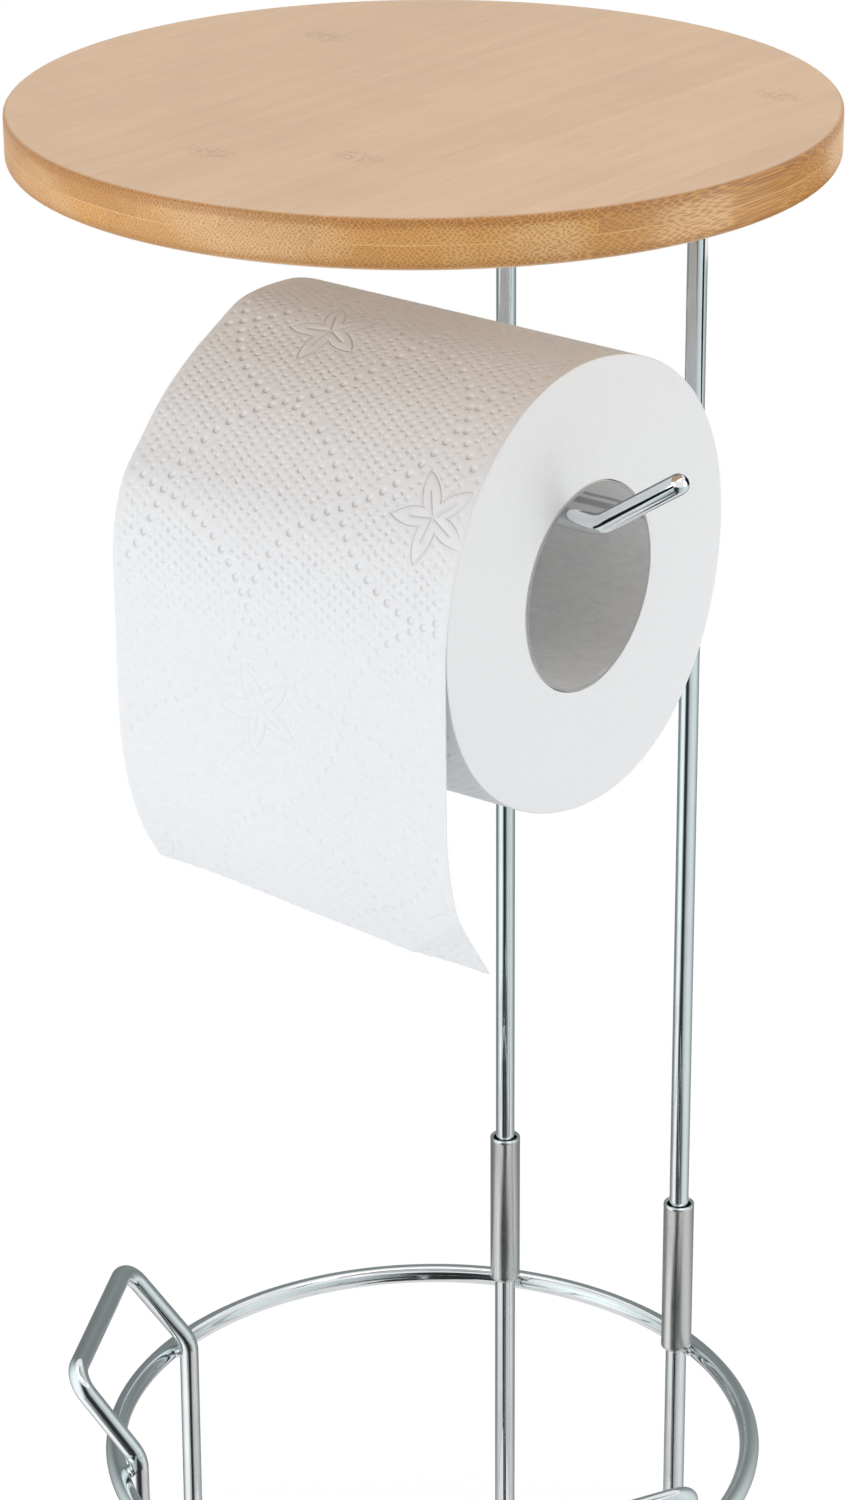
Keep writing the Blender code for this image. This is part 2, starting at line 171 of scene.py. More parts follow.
def two_tones(value, low, low_colour, high, high_colour):
    """A colour that runs from one tone to another as a number goes from low to high."""
    made = add_node("ShaderNodeValToRGB", {"Fac": value})
    for element, position, colour in zip(made.color_ramp.elements, (low, high), (low_colour, high_colour)):
        element.position = position
        element.color = (*colour, 1)
    return made.outputs["Color"]


def split(vector):
    """The three numbers of a place or a colour."""
    return [Reading(part) for part in add_node("ShaderNodeSeparateXYZ", {0: vector}).outputs]


def own_place(tree):
    """The place on the object, in metres."""
    return add_node("ShaderNodeTexCoord", {}, tree).outputs["Object"]


def own_value(tree, name, output="Fac"):
    """What the mesh itself gives at each of its points."""
    return Reading(add_node("ShaderNodeAttribute", {}, tree, attribute_name=name).outputs[output])


def seen_directly(tree):
    """1 for rays from the camera, off polished metal or through clear stuff, and 0 for the rest."""
    path = add_node("ShaderNodeLightPath", {}, tree).outputs
    some = calc("MAXIMUM", path["Is Camera Ray"], path["Is Glossy Ray"])
    return calc("MAXIMUM", some, path["Is Transmission Ray"])


def bare_material(name):
    """A new material without nodes, and its tree."""
    made = bpy.data.materials.new(name)
    made.use_nodes = True
    made.node_tree.nodes.clear()
    return made, made.node_tree


def add_stage(name, points, faces, material):
    """A piece of the stage, which isn't part of the stand."""
    mesh = bpy.data.meshes.new(name)
    mesh.from_pydata(points, [], faces)
    mesh.materials.append(material)
    piece = bpy.data.objects.new(name, mesh)
    bpy.context.scene.collection.objects.link(piece)
    piece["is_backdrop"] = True
    return piece


def grid_quads(rows, columns, wrap_rows=False, wrap_columns=False):
    """Faces of a grid of points numbered row by row, each side joined to itself where it wraps."""
    row = np.arange(rows if wrap_rows else rows - 1)[:, None]
    column = np.arange(columns if wrap_columns else columns - 1)[None]
    next_row = (row + 1) % rows
    next_column = (column + 1) % columns
    corners = [
        row * columns + column, row * columns + next_column,
        next_row * columns + next_column, next_row * columns + column,
    ]
    return np.stack(np.broadcast_arrays(*corners), -1).reshape(-1, 4)


room_light = 0.42
world = bpy.data.worlds.new("studio")
world.use_nodes = True
world.node_tree.nodes.clear()
world_strength = spread(seen_directly(world.node_tree), 0.0, 1.0, room_light, 1.0)
world_glow = add_node("ShaderNodeBackground", {"Color": (1, 1, 1), "Strength": world_strength})
add_node("ShaderNodeOutputWorld", {"Surface": world_glow.outputs[0]})
bpy.context.scene.world = world

# the floor is lit white of itself, but for a soft round under the stand that keeps the shadow
floor_reach = 8.0
shadow_radius = 0.10
shadow_end = 0.38
floor_material, floor_tree = bare_material("floor_white")
floor_distance = add_node("ShaderNodeVectorMath", {0: own_place(floor_tree)}, operation="LENGTH")
floor_glow = spread(floor_distance.outputs["Value"], shadow_radius, shadow_end, 0.6, 1.0, smooth=True)
floor_plain = add_node("ShaderNodeBsdfDiffuse", {"Color": (0.9, 0.9, 0.9)}, floor_tree)
floor_lit = add_node("ShaderNodeEmission", {"Color": (1, 1, 1), "Strength": 1.0}, floor_tree)
floor_mix = add_node("ShaderNodeMixShader", {
    0: floor_glow * seen_directly(floor_tree), 1: floor_plain.outputs[0], 2: floor_lit.outputs[0],
})
add_node("ShaderNodeOutputMaterial", {"Surface": floor_mix.outputs[0]})
floor_corners = [(x * floor_reach, y * floor_reach, 0) for x, y in ((-1, -1), (1, -1), (1, 1), (-1, 1))]
add_stage("floor", floor_corners, [(0, 1, 2, 3)], floor_material)

# A card stands round the stand, and only polished metal sees it. It is dark towards the camera and behind,
# bright at the left and paler at the right. Each pair is a turn in degrees from the camera's side,
# leftwards, and the card's grey there. Its foot has greys of its own, and its waist, which the sleeves
# reflect, has a wider dark part. Above the waist it is a little blue.
card_distance = 0.24
card_columns = 145
card_greys = [
    (-180, 0.30), (-150, 0.26), (-128, 0.38), (-112, 0.58), (-96, 0.84), (-70, 0.88), (-45, 0.72),
    (-28, 0.60), (-17, 0.34), (-7, 0.05), (6, 0.035), (20, 0.035), (27, 0.08), (35, 0.50), (46, 1.00),
    (58, 1.18), (84, 1.18), (100, 0.92), (116, 0.50), (134, 0.22), (156, 0.26), (180, 0.30),
]
card_foot_greys = [
    (-180, 0.48), (-120, 0.58), (-90, 0.64), (-40, 0.64), (-16, 0.50), (-6, 0.06), (24, 0.04), (34, 0.50),
    (42, 0.74), (75, 0.70), (120, 0.60), (180, 0.48),
]
card_waist_greys = sorted([pair for pair in card_greys if pair[0] < -50 or pair[0] > 55] + [
    (-50, 0.66), (-38, 0.34), (-27, 0.12), (-14, 0.04), (20, 0.03), (37, 0.07), (46, 0.40), (54, 1.05),
])
card_rows = [
    (0.003, card_foot_greys), (0.09, card_greys), (0.12, card_waist_greys),
    (0.18, card_waist_greys), (0.21, card_greys), (0.50, card_greys),
]
card_turns = np.radians(np.linspace(-180, 180, card_columns))
card_bearing = camera_azimuth - pi / 2 - card_turns
card_points = np.stack([
    [card_distance * np.cos(card_bearing), card_distance * np.sin(card_bearing), 0 * card_bearing + height]
    for height, _ in card_rows
]).transpose(0, 2, 1).reshape(-1, 3)
card_values = [
    np.interp(card_turns, np.radians([turn for turn, _ in greys]), [grey for _, grey in greys])
    for _, greys in card_rows
]
card_material, card_tree = bare_material("reflected_card")
card_rise = spread(split(own_place(card_tree))[2], 0.13, 0.22)
card_glow = add_node("ShaderNodeEmission", {
    "Color": two_tones(card_rise, 0.0, (1.0, 1.0, 1.0), 1.0, (0.91, 1.0, 1.0)),
    "Strength": own_value(card_tree, "card_grey"),
})
add_node("ShaderNodeOutputMaterial", {"Surface": card_glow.outputs[0]})
card = add_stage(
    "reflected_card", card_points.tolist(), grid_quads(len(card_rows), card_columns).tolist(), card_material
)
card_grey = card.data.attributes.new("card_grey", "FLOAT", "POINT")
card_grey.data.foreach_set("value", np.concatenate(card_values).astype(np.float32))
glossy_cards = [card]

# a board on the floor, whose reflection is the dark line down the lower rods, and three small ones by the
# roll arm's tip, which draw the dark streak, the grey edge and the dark end on it
for card_name, card_strength, card_corners in (
    ("card_on_floor", 0.03, [
        (0.0421, 0.0402, 0.001), (0.0062, 0.0130, 0.001), (0.0693, -0.2525, 0.001), (0.2168, -0.1410, 0.001),
    ]),
    ("card_before_tip", 0.01, [
        (0.0478, -0.0236, 0.5125), (0.0740, -0.0236, 0.5290),
        (0.0752, -0.0236, 0.5240), (0.0478, -0.0236, 0.5010),
    ]),
    ("card_over_tip", 0.22, [
        (0.0489, -0.0082, 0.5167), (0.0740, -0.0082, 0.5336),
        (0.0770, -0.0009, 0.5294), (0.0521, -0.0009, 0.5126),
    ]),
    ("card_behind_tip", 0.01, [
        (0.048, 0.082, 0.500), (0.160, 0.082, 0.500), (0.160, 0.082, 0.600), (0.048, 0.082, 0.560),
    ]),
):
    card_paint, paint_tree = bare_material(card_name)
    paint_glow = add_node("ShaderNodeEmission", {"Color": (1, 1, 1), "Strength": card_strength}, paint_tree)
    add_node("ShaderNodeOutputMaterial", {"Surface": paint_glow.outputs[0]})
    glossy_cards.append(add_stage(card_name, card_corners, [(0, 1, 2, 3)], card_paint))
for glossy_card in glossy_cards:
    glossy_card.visible_camera = False
    glossy_card.visible_diffuse = False
    glossy_card.visible_shadow = False
    glossy_card.visible_transmission = False


def add_lamp(name, turn, elevation, distance, size, watts, colour=(1, 1, 1)):
    """A soft rectangular lamp aimed at the roll; turn is from the camera's side, leftwards."""
    data = bpy.data.lights.new(name, "AREA")
    data.shape = "RECTANGLE"
    data.size, data.size_y = size
    data.energy = watts
    data.color = colour
    lamp = bpy.data.objects.new(name, data)
    bearing = camera_azimuth - pi / 2 - radians(turn)
    rise = radians(elevation)
    away = Vector((cos(bearing) * cos(rise), sin(bearing) * cos(rise), sin(rise)))
    place = Vector((0, 0, 0.42)) + away * distance
    lamp.matrix_world = Matrix.Translation(place) @ away.to_track_quat("Z", "Y").to_matrix().to_4x4()
    bpy.context.scene.collection.objects.link(lamp)


add_lamp("lamp_front", 57, 9, 1.3, (0.9, 0.9), 8.1)
add_lamp("lamp_right", -75, 12, 1.4, (0.8, 1.2), 8.4, (1.0, 0.985, 0.96))
add_lamp("lamp_above", 0, 82, 1.4, (1.2, 1.2), 5.2)


# Lower frame: one 5.5 mm wire of chromed steel, with two rods that come down from the sleeves,
# bend in at the floor and join in a bar behind the spare rolls.
def bent_path(corners, closed=False, bend_steps=14, run_step=0.010):
    """Points along a wire through corner places, each with a bend radius.

    A corner of radius r whose runs turn by t starts r * tan(t / 2) before it. The arc's point at angle a is
    start + inward * r * sin(a) + side * r * (1 - cos(a)), side being square to inward in the bend's plane.
    """
    places = np.array([place for place, _ in corners], float)
    count = len(places)
    stretches = []
    for index, (_, radius) in enumerate(corners):
        if not closed and index in (0, count - 1):
            stretches.append(places[index][None])
            continue
        inward = places[index] - places[index - 1]
        inward /= np.linalg.norm(inward)
        outward = places[(index + 1) % count] - places[index]
        outward /= np.linalg.norm(outward)
        turn = np.arccos(np.clip(inward @ outward, -1, 1))
        side = outward - inward * (inward @ outward)
        side /= np.linalg.norm(side)
        start = places[index] - inward * radius * tan(turn / 2)
        angle = np.linspace(0, turn, bend_steps + 1)[:, None]
        stretches.append(start + inward * radius * np.sin(angle) + side * radius * (1 - np.cos(angle)))
    path = []
    for index, stretch in enumerate(stretches):
        path.append(stretch)
        if index == count - 1 and not closed:
            break
        first, last = stretch[-1], stretches[(index + 1) % count][0]
        steps = max(int(np.linalg.norm(last - first) / run_step), 1)
        share = np.linspace(0, 1, steps + 1)[1:-1, None]
        path.append(first + (last - first) * share)
    return np.concatenate(path)


def pole_fans(first, last, low_start, high_start, count):
    """Triangles that close a form at both ends, from a pole to the ring of points next to it."""
    side = np.arange(count)
    following = (side + 1) % count
    low = np.stack([0 * side + first, low_start + following, low_start + side], -1)
    high = np.stack([0 * side + last, high_start + side, high_start + following], -1)
    return low.tolist() + high.tolist()


def wire_surface(path, radius, level, closed=False, ends=(), sides=28):
    """A round wire along a path.

    Each point's ring is P + r * (cos(a) * N + sin(a) * B), with N the part of the fixed direction level
    that is square to the wire, and B square to both. ends lists (step beyond the end, share of the radius)
    pairs that round an open wire's ends, which close in a point.
    """
    if closed:
        before, after = np.roll(path, 1, 0), np.roll(path, -1, 0)
    else:
        before = np.concatenate([path[:1] * 2 - path[1:2], path[:-1]])
        after = np.concatenate([path[1:], path[-1:] * 2 - path[-2:-1]])
    inward = path - before
    outward = after - path
    tangent = inward / np.linalg.norm(inward, axis=1, keepdims=True)
    tangent = tangent + outward / np.linalg.norm(outward, axis=1, keepdims=True)
    tangent /= np.linalg.norm(tangent, axis=1, keepdims=True)
    radii = np.full(len(path), radius)
    if not closed:
        beyond = np.array([step for step, _ in ends])[:, None] * radius
        shares = np.array([share for _, share in ends]) * radius
        path = np.concatenate([path[0] - tangent[0] * beyond[::-1], path, path[-1] + tangent[-1] * beyond])
        tangent = np.concatenate([
            np.repeat(tangent[:1], len(ends), 0), tangent, np.repeat(tangent[-1:], len(ends), 0),
        ])
        radii = np.concatenate([shares[::-1], radii, shares])
    level = np.array(level, float)
    normal = level - tangent * (tangent @ level)[:, None]
    normal /= np.linalg.norm(normal, axis=1, keepdims=True)
    binormal = np.cross(tangent, normal)
    angle = np.linspace(0, 2 * pi, sides, endpoint=False)[None, :, None]
    rings = normal[:, None] * np.cos(angle) + binormal[:, None] * np.sin(angle)
    points = (path[:, None] + rings * radii[:, None, None]).reshape(-1, 3)
    faces = grid_quads(len(path), sides, wrap_rows=closed, wrap_columns=True).tolist()
    if not closed:
        faces += pole_fans(len(points), len(points) + 1, 0, (len(path) - 1) * sides, sides)
        points = np.concatenate([points, path[:1], path[-1:]])
    return points, faces


def add_piece(name, surfaces, material, body, nodes=()):
    """Makes one smooth mesh of several (points, faces) surfaces, and sets it on its body."""
    points = np.concatenate([part_points.reshape(-1, 3) for part_points, _ in surfaces])
    faces = []
    start = 0
    for part_points, part_faces in surfaces:
        faces += [[corner + start for corner in face] for face in part_faces]
        start += part_points.size // 3
    mesh = bpy.data.meshes.new(name)
    mesh.from_pydata(points.tolist(), [], faces)
    mesh.validate()
    mesh.shade_smooth()
    mesh.set_sharp_from_angle(angle=radians(50))
    mesh.materials.append(material)
    piece = bpy.data.objects.new(name, mesh)
    bpy.context.scene.collection.objects.link(piece)
    if body:
        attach(piece, body)
    if nodes:
        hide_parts(*nodes)
    return piece


def start_material(name):
    """A new material, its shader, and the place on the piece."""
    made = bpy.data.materials.new(name)
    made.use_nodes = True
    return made, made.node_tree.nodes["Principled BSDF"], own_place(made.node_tree)


def noise(place, scale, detail, roughness=0.5, output="Fac"):
    """A cloudy pattern at a place."""
    made = add_node(
        "ShaderNodeTexNoise", {"Vector": place, "Scale": scale, "Detail": detail, "Roughness": roughness}
    )
    return Reading(made.outputs[output])


def bump(height, strength, distance):
    """How a fine relief tilts the surface."""
    made = add_node("ShaderNodeBump", {"Height": height, "Strength": strength, "Distance": distance})
    return made.outputs["Normal"]


chrome, chrome_shader, chrome_place = start_material("bright_chrome")
chrome_cloud = noise(chrome_place, 90.0, 3.0, 0.55)
chrome_grain = noise(chrome_place, 1400.0, 2.0)
fill(chrome_shader, {
    "Base Color": two_tones(chrome_cloud, 0.30, (0.735, 0.765, 0.780), 0.70, (0.790, 0.820, 0.835)),
    "Roughness": spread(chrome_cloud, 0.3, 0.7, 0.05, 0.11),
    "Metallic": 1.0,
    "Normal": bump(chrome_cloud + chrome_grain * 0.02, 0.5, 0.0001),
})

upright_x = 0.0283
upright_y = 0.071019
rod_joint_height = 0.269466
rod_joint_gap = 0.0003
lower_wire_radius = 0.00275
lower_run_height = 0.00525
floor_bend_radius = 0.010
floor_corner_radius = 0.008
floor_bar_distance = 0.022
cut_end = [(0.0, 0.999)]


def frame_path(joint_height, run_height, bar_y, bend_radius, corner_radius):
    """Points along a frame: from a rod's joint out along its run, across the bar and back the same way."""
    half = [
        ((-upright_x, upright_y, joint_height), 0),
        ((-upright_x, upright_y, run_height), bend_radius),
        ((-upright_x, bar_y, run_height), corner_radius),
    ]
    return bent_path(half + [((-x, y, z), radius) for (x, y, z), radius in reversed(half)])


lower_frame_path = frame_path(
    rod_joint_height - rod_joint_gap, lower_run_height, floor_bar_distance,
    floor_bend_radius, floor_corner_radius,
)
add_piece(
    "lower_frame_wire", [wire_surface(lower_frame_path, lower_wire_radius, (1, -1, 1), ends=cut_end)],
    chrome, "basket_base", ["lower_frame"],
)


# Basket guides: two closed loops of 5 mm chromed wire, welded inside the rings. Their legs spread a little
# towards the tops, which flare outwards to lead a spare roll in, and the lower ends run in on the floor.
guide_wire_radius = 0.0025
guide_leg_distance = 0.07205
guide_leg_half = 0.0263
guide_bend_distance = 0.0712
guide_bend_half = 0.0288
guide_bend_height = 0.2492
guide_flare_radius = 0.0095
guide_top_distance = 0.08765
guide_bar_half = 0.0278
guide_top_height = 0.2710
guide_top_radius = 0.006
guide_run_height = 0.0050
guide_turns = {"left": radians(207), "right": radians(-27)}

guide_half = [
    ((guide_top_distance, guide_bar_half, guide_top_height), guide_top_radius),
    ((guide_bend_distance, guide_bend_half, guide_bend_height), guide_flare_radius),
    ((guide_leg_distance, guide_leg_half, guide_run_height), floor_bend_radius),
    ((floor_bar_distance, guide_leg_half, guide_run_height), floor_corner_radius),
]
guide_corners = guide_half + [((x, -y, z), radius) for (x, y, z), radius in reversed(guide_half)]
guide_points, guide_faces = wire_surface(
    bent_path(guide_corners, closed=True), guide_wire_radius, (1, 1, -1), closed=True
)
for side_name, turn in guide_turns.items():
    spin = np.array([[cos(turn), -sin(turn), 0], [sin(turn), cos(turn), 0], [0, 0, 1]])
    add_piece(
        "guide_wire_" + side_name, [(guide_points @ spin.T, guide_faces)],
        chrome, "basket_base", ["basket_guide_" + side_name],
    )


# Basket ring and base ring: 5 mm chromed wire, rolled into closed rings that go round the rods and the
# guides' legs and are welded to them.
ring_radius = 0.082
ring_wire_radius = 0.0025
ring_heights = {"basket_ring": 0.2455, "base_ring": 0.022}
ring_steps = 240
for ring_name, height in ring_heights.items():
    angle = np.linspace(0, 2 * pi, ring_steps, endpoint=False)
    ring_path = np.stack(
        [ring_radius * np.cos(angle), ring_radius * np.sin(angle), np.full(ring_steps, height)], -1
    )
    add_piece(
        ring_name + "_wire", [wire_surface(ring_path, ring_wire_radius, (0, 0, 1), closed=True, sides=24)],
        chrome, "basket_base", [ring_name],
    )


# Weld beads: where two wires touch they are fused by a spot weld, which leaves a small smooth swelling
# under the chrome.
def bead_surface(middle, across, up, sizes, seed):
    """A lumpy closed bead: an ellipsoid whose three half sizes lie along across x up, up and across.

    Its point at longitude a and latitude b is middle + sizes * (cos(b) cos(a), cos(b) sin(a), sin(b)),
    swelled by a few per cent with a slow wave of a and b.
    """
    rows, columns = 9, 16
    across = np.array(across, float) / np.linalg.norm(across)
    up = np.array(up, float) / np.linalg.norm(up)
    out = np.cross(across, up)
    a = np.linspace(0, 2 * pi, columns, endpoint=False)[None]
    b = np.linspace(-pi / 2, pi / 2, rows + 2)[1:-1, None]
    swell = 1 + 0.07 * np.sin(2 * a + seed) * np.cos(3 * b + seed)
    shape = np.stack([np.cos(b) * np.cos(a) * swell, np.cos(b) * np.sin(a) * swell, np.sin(b) * swell], -1)
    points = shape.reshape(-1, 3) * sizes
    points = np.concatenate([points, [[0, 0, -sizes[2]], [0, 0, sizes[2]]]])
    points = np.array(middle) + points @ np.stack([out, up, across])
    faces = grid_quads(rows, columns, wrap_columns=True).tolist()
    faces += pole_fans(rows * columns, rows * columns + 1, 0, (rows - 1) * columns, columns)
    return points, faces


ring_bead_sizes = np.array([0.0015, 0.0016, 0.0026])
ring_beads = []
for seed, height in enumerate(ring_heights.values()):
    rise = height / guide_bend_height
    leg_distance = guide_leg_distance + (guide_bend_distance - guide_leg_distance) * rise
    leg_half = guide_leg_half + (guide_bend_half - guide_leg_half) * rise
    touching = [(upright_x, upright_y), (-upright_x, upright_y)]
    touching += [
        (leg_distance * cos(turn) - half * sin(turn), leg_distance * sin(turn) + half * cos(turn))
        for turn in guide_turns.values() for half in (leg_half, -leg_half)
    ]
    for index, (x, y) in enumerate(touching):
        outward = np.array([x, y, 0]) / np.hypot(x, y)
        middle = outward * (ring_radius - ring_wire_radius) + [0, 0, height]
        ring_beads.append(bead_surface(middle, (-y, x, 0), (0, 0, 1), ring_bead_sizes, seed + index))
add_piece("ring_welds", ring_beads, chrome, "basket_base")


# Sleeves: two short tubes of satin steel, pushed on the lower rods, that the uprights plug into. Each has
# a rounded foot and a thin polished lip where it was turned off, and the left one sits a little higher.
sleeve_length = 0.0441
sleeve_bottom = 0.247416
sleeve_lifts = {"left": 0.0016, "right": 0.0}
sleeve_radius = 0.00405
sleeve_bore_radius = 0.00305
sleeve_sides = 64
sleeve_top_round = 0.0005
sleeve_foot_round = 0.0009
sleeve_chamfer = 0.0004
sleeve_waist_radius = sleeve_radius - 0.00004
top_band = 0.0010
foot_band = 0.0019
band_step = 0.0001
lip_height = 0.0006
lip_inner_radius = sleeve_bore_radius + 0.0001


def turned_surface(profile, sides, middle=(0, 0, 0), closed=True):
    """A turned form: each (radius, height) of the profile goes round as (r cos(a), r sin(a), h)."""
    profile = np.array(profile, float)
    angle = np.linspace(0, 2 * pi, sides, endpoint=False)[None]
    radius, height = profile[:, :1], profile[:, 1:]
    points = np.stack([radius * np.cos(angle), radius * np.sin(angle), height + 0 * angle], -1)
    faces = grid_quads(len(profile), sides, wrap_rows=closed, wrap_columns=True)
    return points + np.array(middle), faces.tolist()


def round_points(middle_r, middle_h, radius, start, stop, steps):
    """Points of an arc in a turned profile, from one angle to another in degrees."""
    angle = np.radians(np.linspace(start, stop, steps + 1))
    return np.stack([middle_r + radius * np.cos(angle), middle_h + radius * np.sin(angle)], -1)


def stretched(place, scale, turn=0.0):
    """A place turned about Z and scaled, for a pattern that runs one way."""
    made = add_node("ShaderNodeMapping", {"Vector": place, "Rotation": (0, 0, turn), "Scale": scale})
    return made.outputs[0]


satin_steel, satin_shader, satin_place = start_material("satin_steel")
satin_lines = noise(stretched(satin_place, (1.0, 1.0, 0.03)), 3200.0, 4.0, 0.6)
satin_cloud = noise(satin_place, 260.0, 3.0)
fill(satin_shader, {
    "Base Color": two_tones(satin_lines, 0.25, (0.575, 0.572, 0.565), 0.75, (0.645, 0.642, 0.635)),
    "Roughness": spread(satin_cloud, 0.3, 0.7, 0.21, 0.26),
    "Metallic": 1.0,
    "Normal": bump(satin_lines, 0.10, 0.00003),
})

sleeve_top_arc = (sleeve_radius - sleeve_top_round, sleeve_length - sleeve_top_round, sleeve_top_round)
sleeve_foot_arc = (sleeve_radius - sleeve_foot_round, sleeve_foot_round, sleeve_foot_round)
sleeve_profile = np.concatenate([
    [(sleeve_bore_radius, sleeve_length - sleeve_chamfer)],
    [(sleeve_bore_radius + sleeve_chamfer, sleeve_length)],
    round_points(*sleeve_top_arc, 90, 0, 6),
    [(sleeve_radius, sleeve_length - top_band)],
    [(sleeve_waist_radius, sleeve_length - top_band - band_step)],
    [(sleeve_waist_radius, foot_band + band_step), (sleeve_radius, foot_band)],
    round_points(*sleeve_foot_arc, 0, -90, 8),
    [(sleeve_bore_radius, band_step)],
    [(sleeve_bore_radius, sleeve_length - sleeve_chamfer - band_step)],
])
for side_name, side in (("left", -1), ("right", 1)):
    sleeve_middle = (side * upright_x, upright_y, sleeve_bottom + sleeve_lifts[side_name])
    sleeve = add_piece(
        "sleeve_tube_" + side_name, [turned_surface(sleeve_profile, sleeve_sides, sleeve_middle)],
        satin_steel, "basket_base", ["sleeve_" + side_name],
    )
    sleeve.data.materials.append(chrome)
    centres = np.empty(len(sleeve.data.polygons) * 3)
    sleeve.data.polygons.foreach_get("center", centres)
    centres = centres.reshape(-1, 3) - sleeve_middle
    lip = (centres[:, 2] > sleeve_length - lip_height) & (np.hypot(*centres[:, :2].T) > lip_inner_radius)
    sleeve.data.polygons.foreach_set("material_index", lip.astype(np.int32))


# Feet: moulded pads of soft grey plastic with a fine grain, that clip on the floor runs and keep the wire
# off the floor.
def finish_nodes(beginning, material):
    """Gives a material to the solids whose names begin in a certain way, and which stay as they are."""
    for name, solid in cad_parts.items():
        if name.startswith(beginning):
            solid.data.materials.clear()
            solid.data.materials.append(material)


foot_plastic, foot_shader, foot_place = start_material("foot_plastic")
foot_grain = noise(foot_place, 1800.0, 3.0)
fill(foot_shader, {
    "Base Color": two_tones(foot_grain, 0.0, (0.60, 0.61, 0.62), 1.0, (0.74, 0.75, 0.76)),
    "Roughness": 0.5,
    "Normal": bump(foot_grain, 0.3, 0.00005),
})
finish_nodes("foot_", foot_plastic)


# Upper frame: one 5 mm chromed wire that rises as two uprights, bends forward and joins in a U
# under the shelf.
upper_wire_radius = 0.0025
shelf_frame_height = 0.5856
shelf_frame_front = -0.055
upright_bend_radius = 0.010
shelf_frame_corner_radius = 0.012
upper_frame_path = frame_path(
    rod_joint_height + rod_joint_gap, shelf_frame_height, shelf_frame_front,
    upright_bend_radius, shelf_frame_corner_radius,
)
add_piece(
    "upper_frame_wire", [wire_surface(upper_frame_path, upper_wire_radius, (1, 1, 1), ends=cut_end)],
    chrome, "upper_stand", ["upper_frame"],
)


# Fixing tabs and screws: four flat zinc-plated tabs, welded inside the shelf frame, each with a wood screw
# that goes up into the shelf. The welds of the roll arm's crossbar are made here too.
zinc_steel, zinc_shader, zinc_place = start_material("zinc_steel")
zinc_cells = add_node("ShaderNodeTexVoronoi", {"Vector": zinc_place, "Scale": 700.0}).outputs["Color"]
zinc_value = Reading(add_node("ShaderNodeRGBToBW", {"Color": zinc_cells}).outputs[0])
zinc_mixed = zinc_value * 0.4 + noise(zinc_place, 500.0, 4.0) * 0.6
fill(zinc_shader, {
    "Base Color": two_tones(zinc_mixed, 0.25, (0.50, 0.50, 0.49), 0.75, (0.68, 0.68, 0.65)),
    "Metallic": 1.0,
    "Roughness": spread(zinc_mixed, 0.2, 0.8, 0.28, 0.45),
})
finish_nodes(("shelf_tab_", "shelf_screw_"), zinc_steel)

tab_edge_x = upright_x - upper_wire_radius - 0.00015
tab_places = [-0.030, 0.036019]
tab_weld_height = 0.58635
tab_bead_sizes = np.array([0.0011, 0.0010, 0.0060])
arm_height = 0.51215
crossbar_y = 0.065719
arm_bead_sizes = np.array([0.0015, 0.0017, 0.0024])
frame_beads = []
for side in (-1, 1):
    for index, y in enumerate(tab_places):
        bead_middle = (side * tab_edge_x, y, tab_weld_height)
        frame_beads.append(bead_surface(bead_middle, (0, 1, 0), (0, 0, 1), tab_bead_sizes, index + side))
for side in (-1, 1):
    bead_middle = (side * upright_x, (upright_y + crossbar_y) / 2, arm_height)
    frame_beads.append(bead_surface(bead_middle, (0, 0, 1), (1, 0, 0), arm_bead_sizes, side))
add_piece("frame_welds", frame_beads, chrome, "upper_stand")


# Shelf: a round of two-ply bamboo board with its grain from front to back, its top edge crisp and its
# lower edge softer, finished with a satin clear coat. Its edge shows the ends of the fibre bundles.
shelf_radius = 0.095
shelf_top = 0.600
shelf_underside = 0.5884
shelf_top_round = 0.0010
shelf_low_round = 0.0020
shelf_sides = 360
flat_rings = 12
flat_margin = 0.004
top_edge_margin = 0.0016
low_edge_margin = 0.0028
ply_joint = 0.5942
joint_ring_gap = 0.0022
edge_blend_start = 0.0003
edge_blend_width = 0.0006


def shelf_surface():
    """The turned disc; its flats run in to the middle in rings, and each pole is closed by a fan."""
    flat = np.linspace(flat_margin, shelf_radius - flat_margin, flat_rings)
    top_round = (shelf_radius - shelf_top_round, shelf_top - shelf_top_round, shelf_top_round)
    low_round = (shelf_radius - shelf_low_round, shelf_underside + shelf_low_round, shelf_low_round)
    profile = np.concatenate([
        np.stack([flat, np.full(flat_rings, shelf_top)], -1),
        [(shelf_radius - top_edge_margin, shelf_top)],
        round_points(*top_round, 90, 0, 6),
        [(shelf_radius, ply_joint + gap) for gap in (joint_ring_gap, 0.0, -joint_ring_gap)],
        round_points(*low_round, 0, -90, 8),
        [(shelf_radius - low_edge_margin, shelf_underside)],
        np.stack([flat[::-1], np.full(flat_rings, shelf_underside)], -1),
    ])
    points, faces = turned_surface(profile, shelf_sides, closed=False)
    points = points.reshape(-1, 3)
    fans = pole_fans(len(points), len(points) + 1, 0, (len(profile) - 1) * shelf_sides, shelf_sides)
    points = np.concatenate([points, [[0, 0, shelf_top], [0, 0, shelf_underside]]])
    return points, [face[::-1] for face in faces + fans]


def joined(x, y, z):
    """A place made of three numbers."""
    return add_node("ShaderNodeCombineXYZ", {0: x, 1: y, 2: z}).outputs[0]


def mixed(share, first, second, blend_type="MIX"):
    """Two colours mixed by a share."""
    inputs = {0: share, 6: first, 7: second}
    return add_node("ShaderNodeMix", inputs, data_type="RGBA", blend_type=blend_type).outputs[2]


def from_lines(place, step, shift):
    """The square of the distance to the nearest line of a row of lines a step apart."""
    turns = place / step + shift
    off = (turns - round(turns)) * step
    return off * off


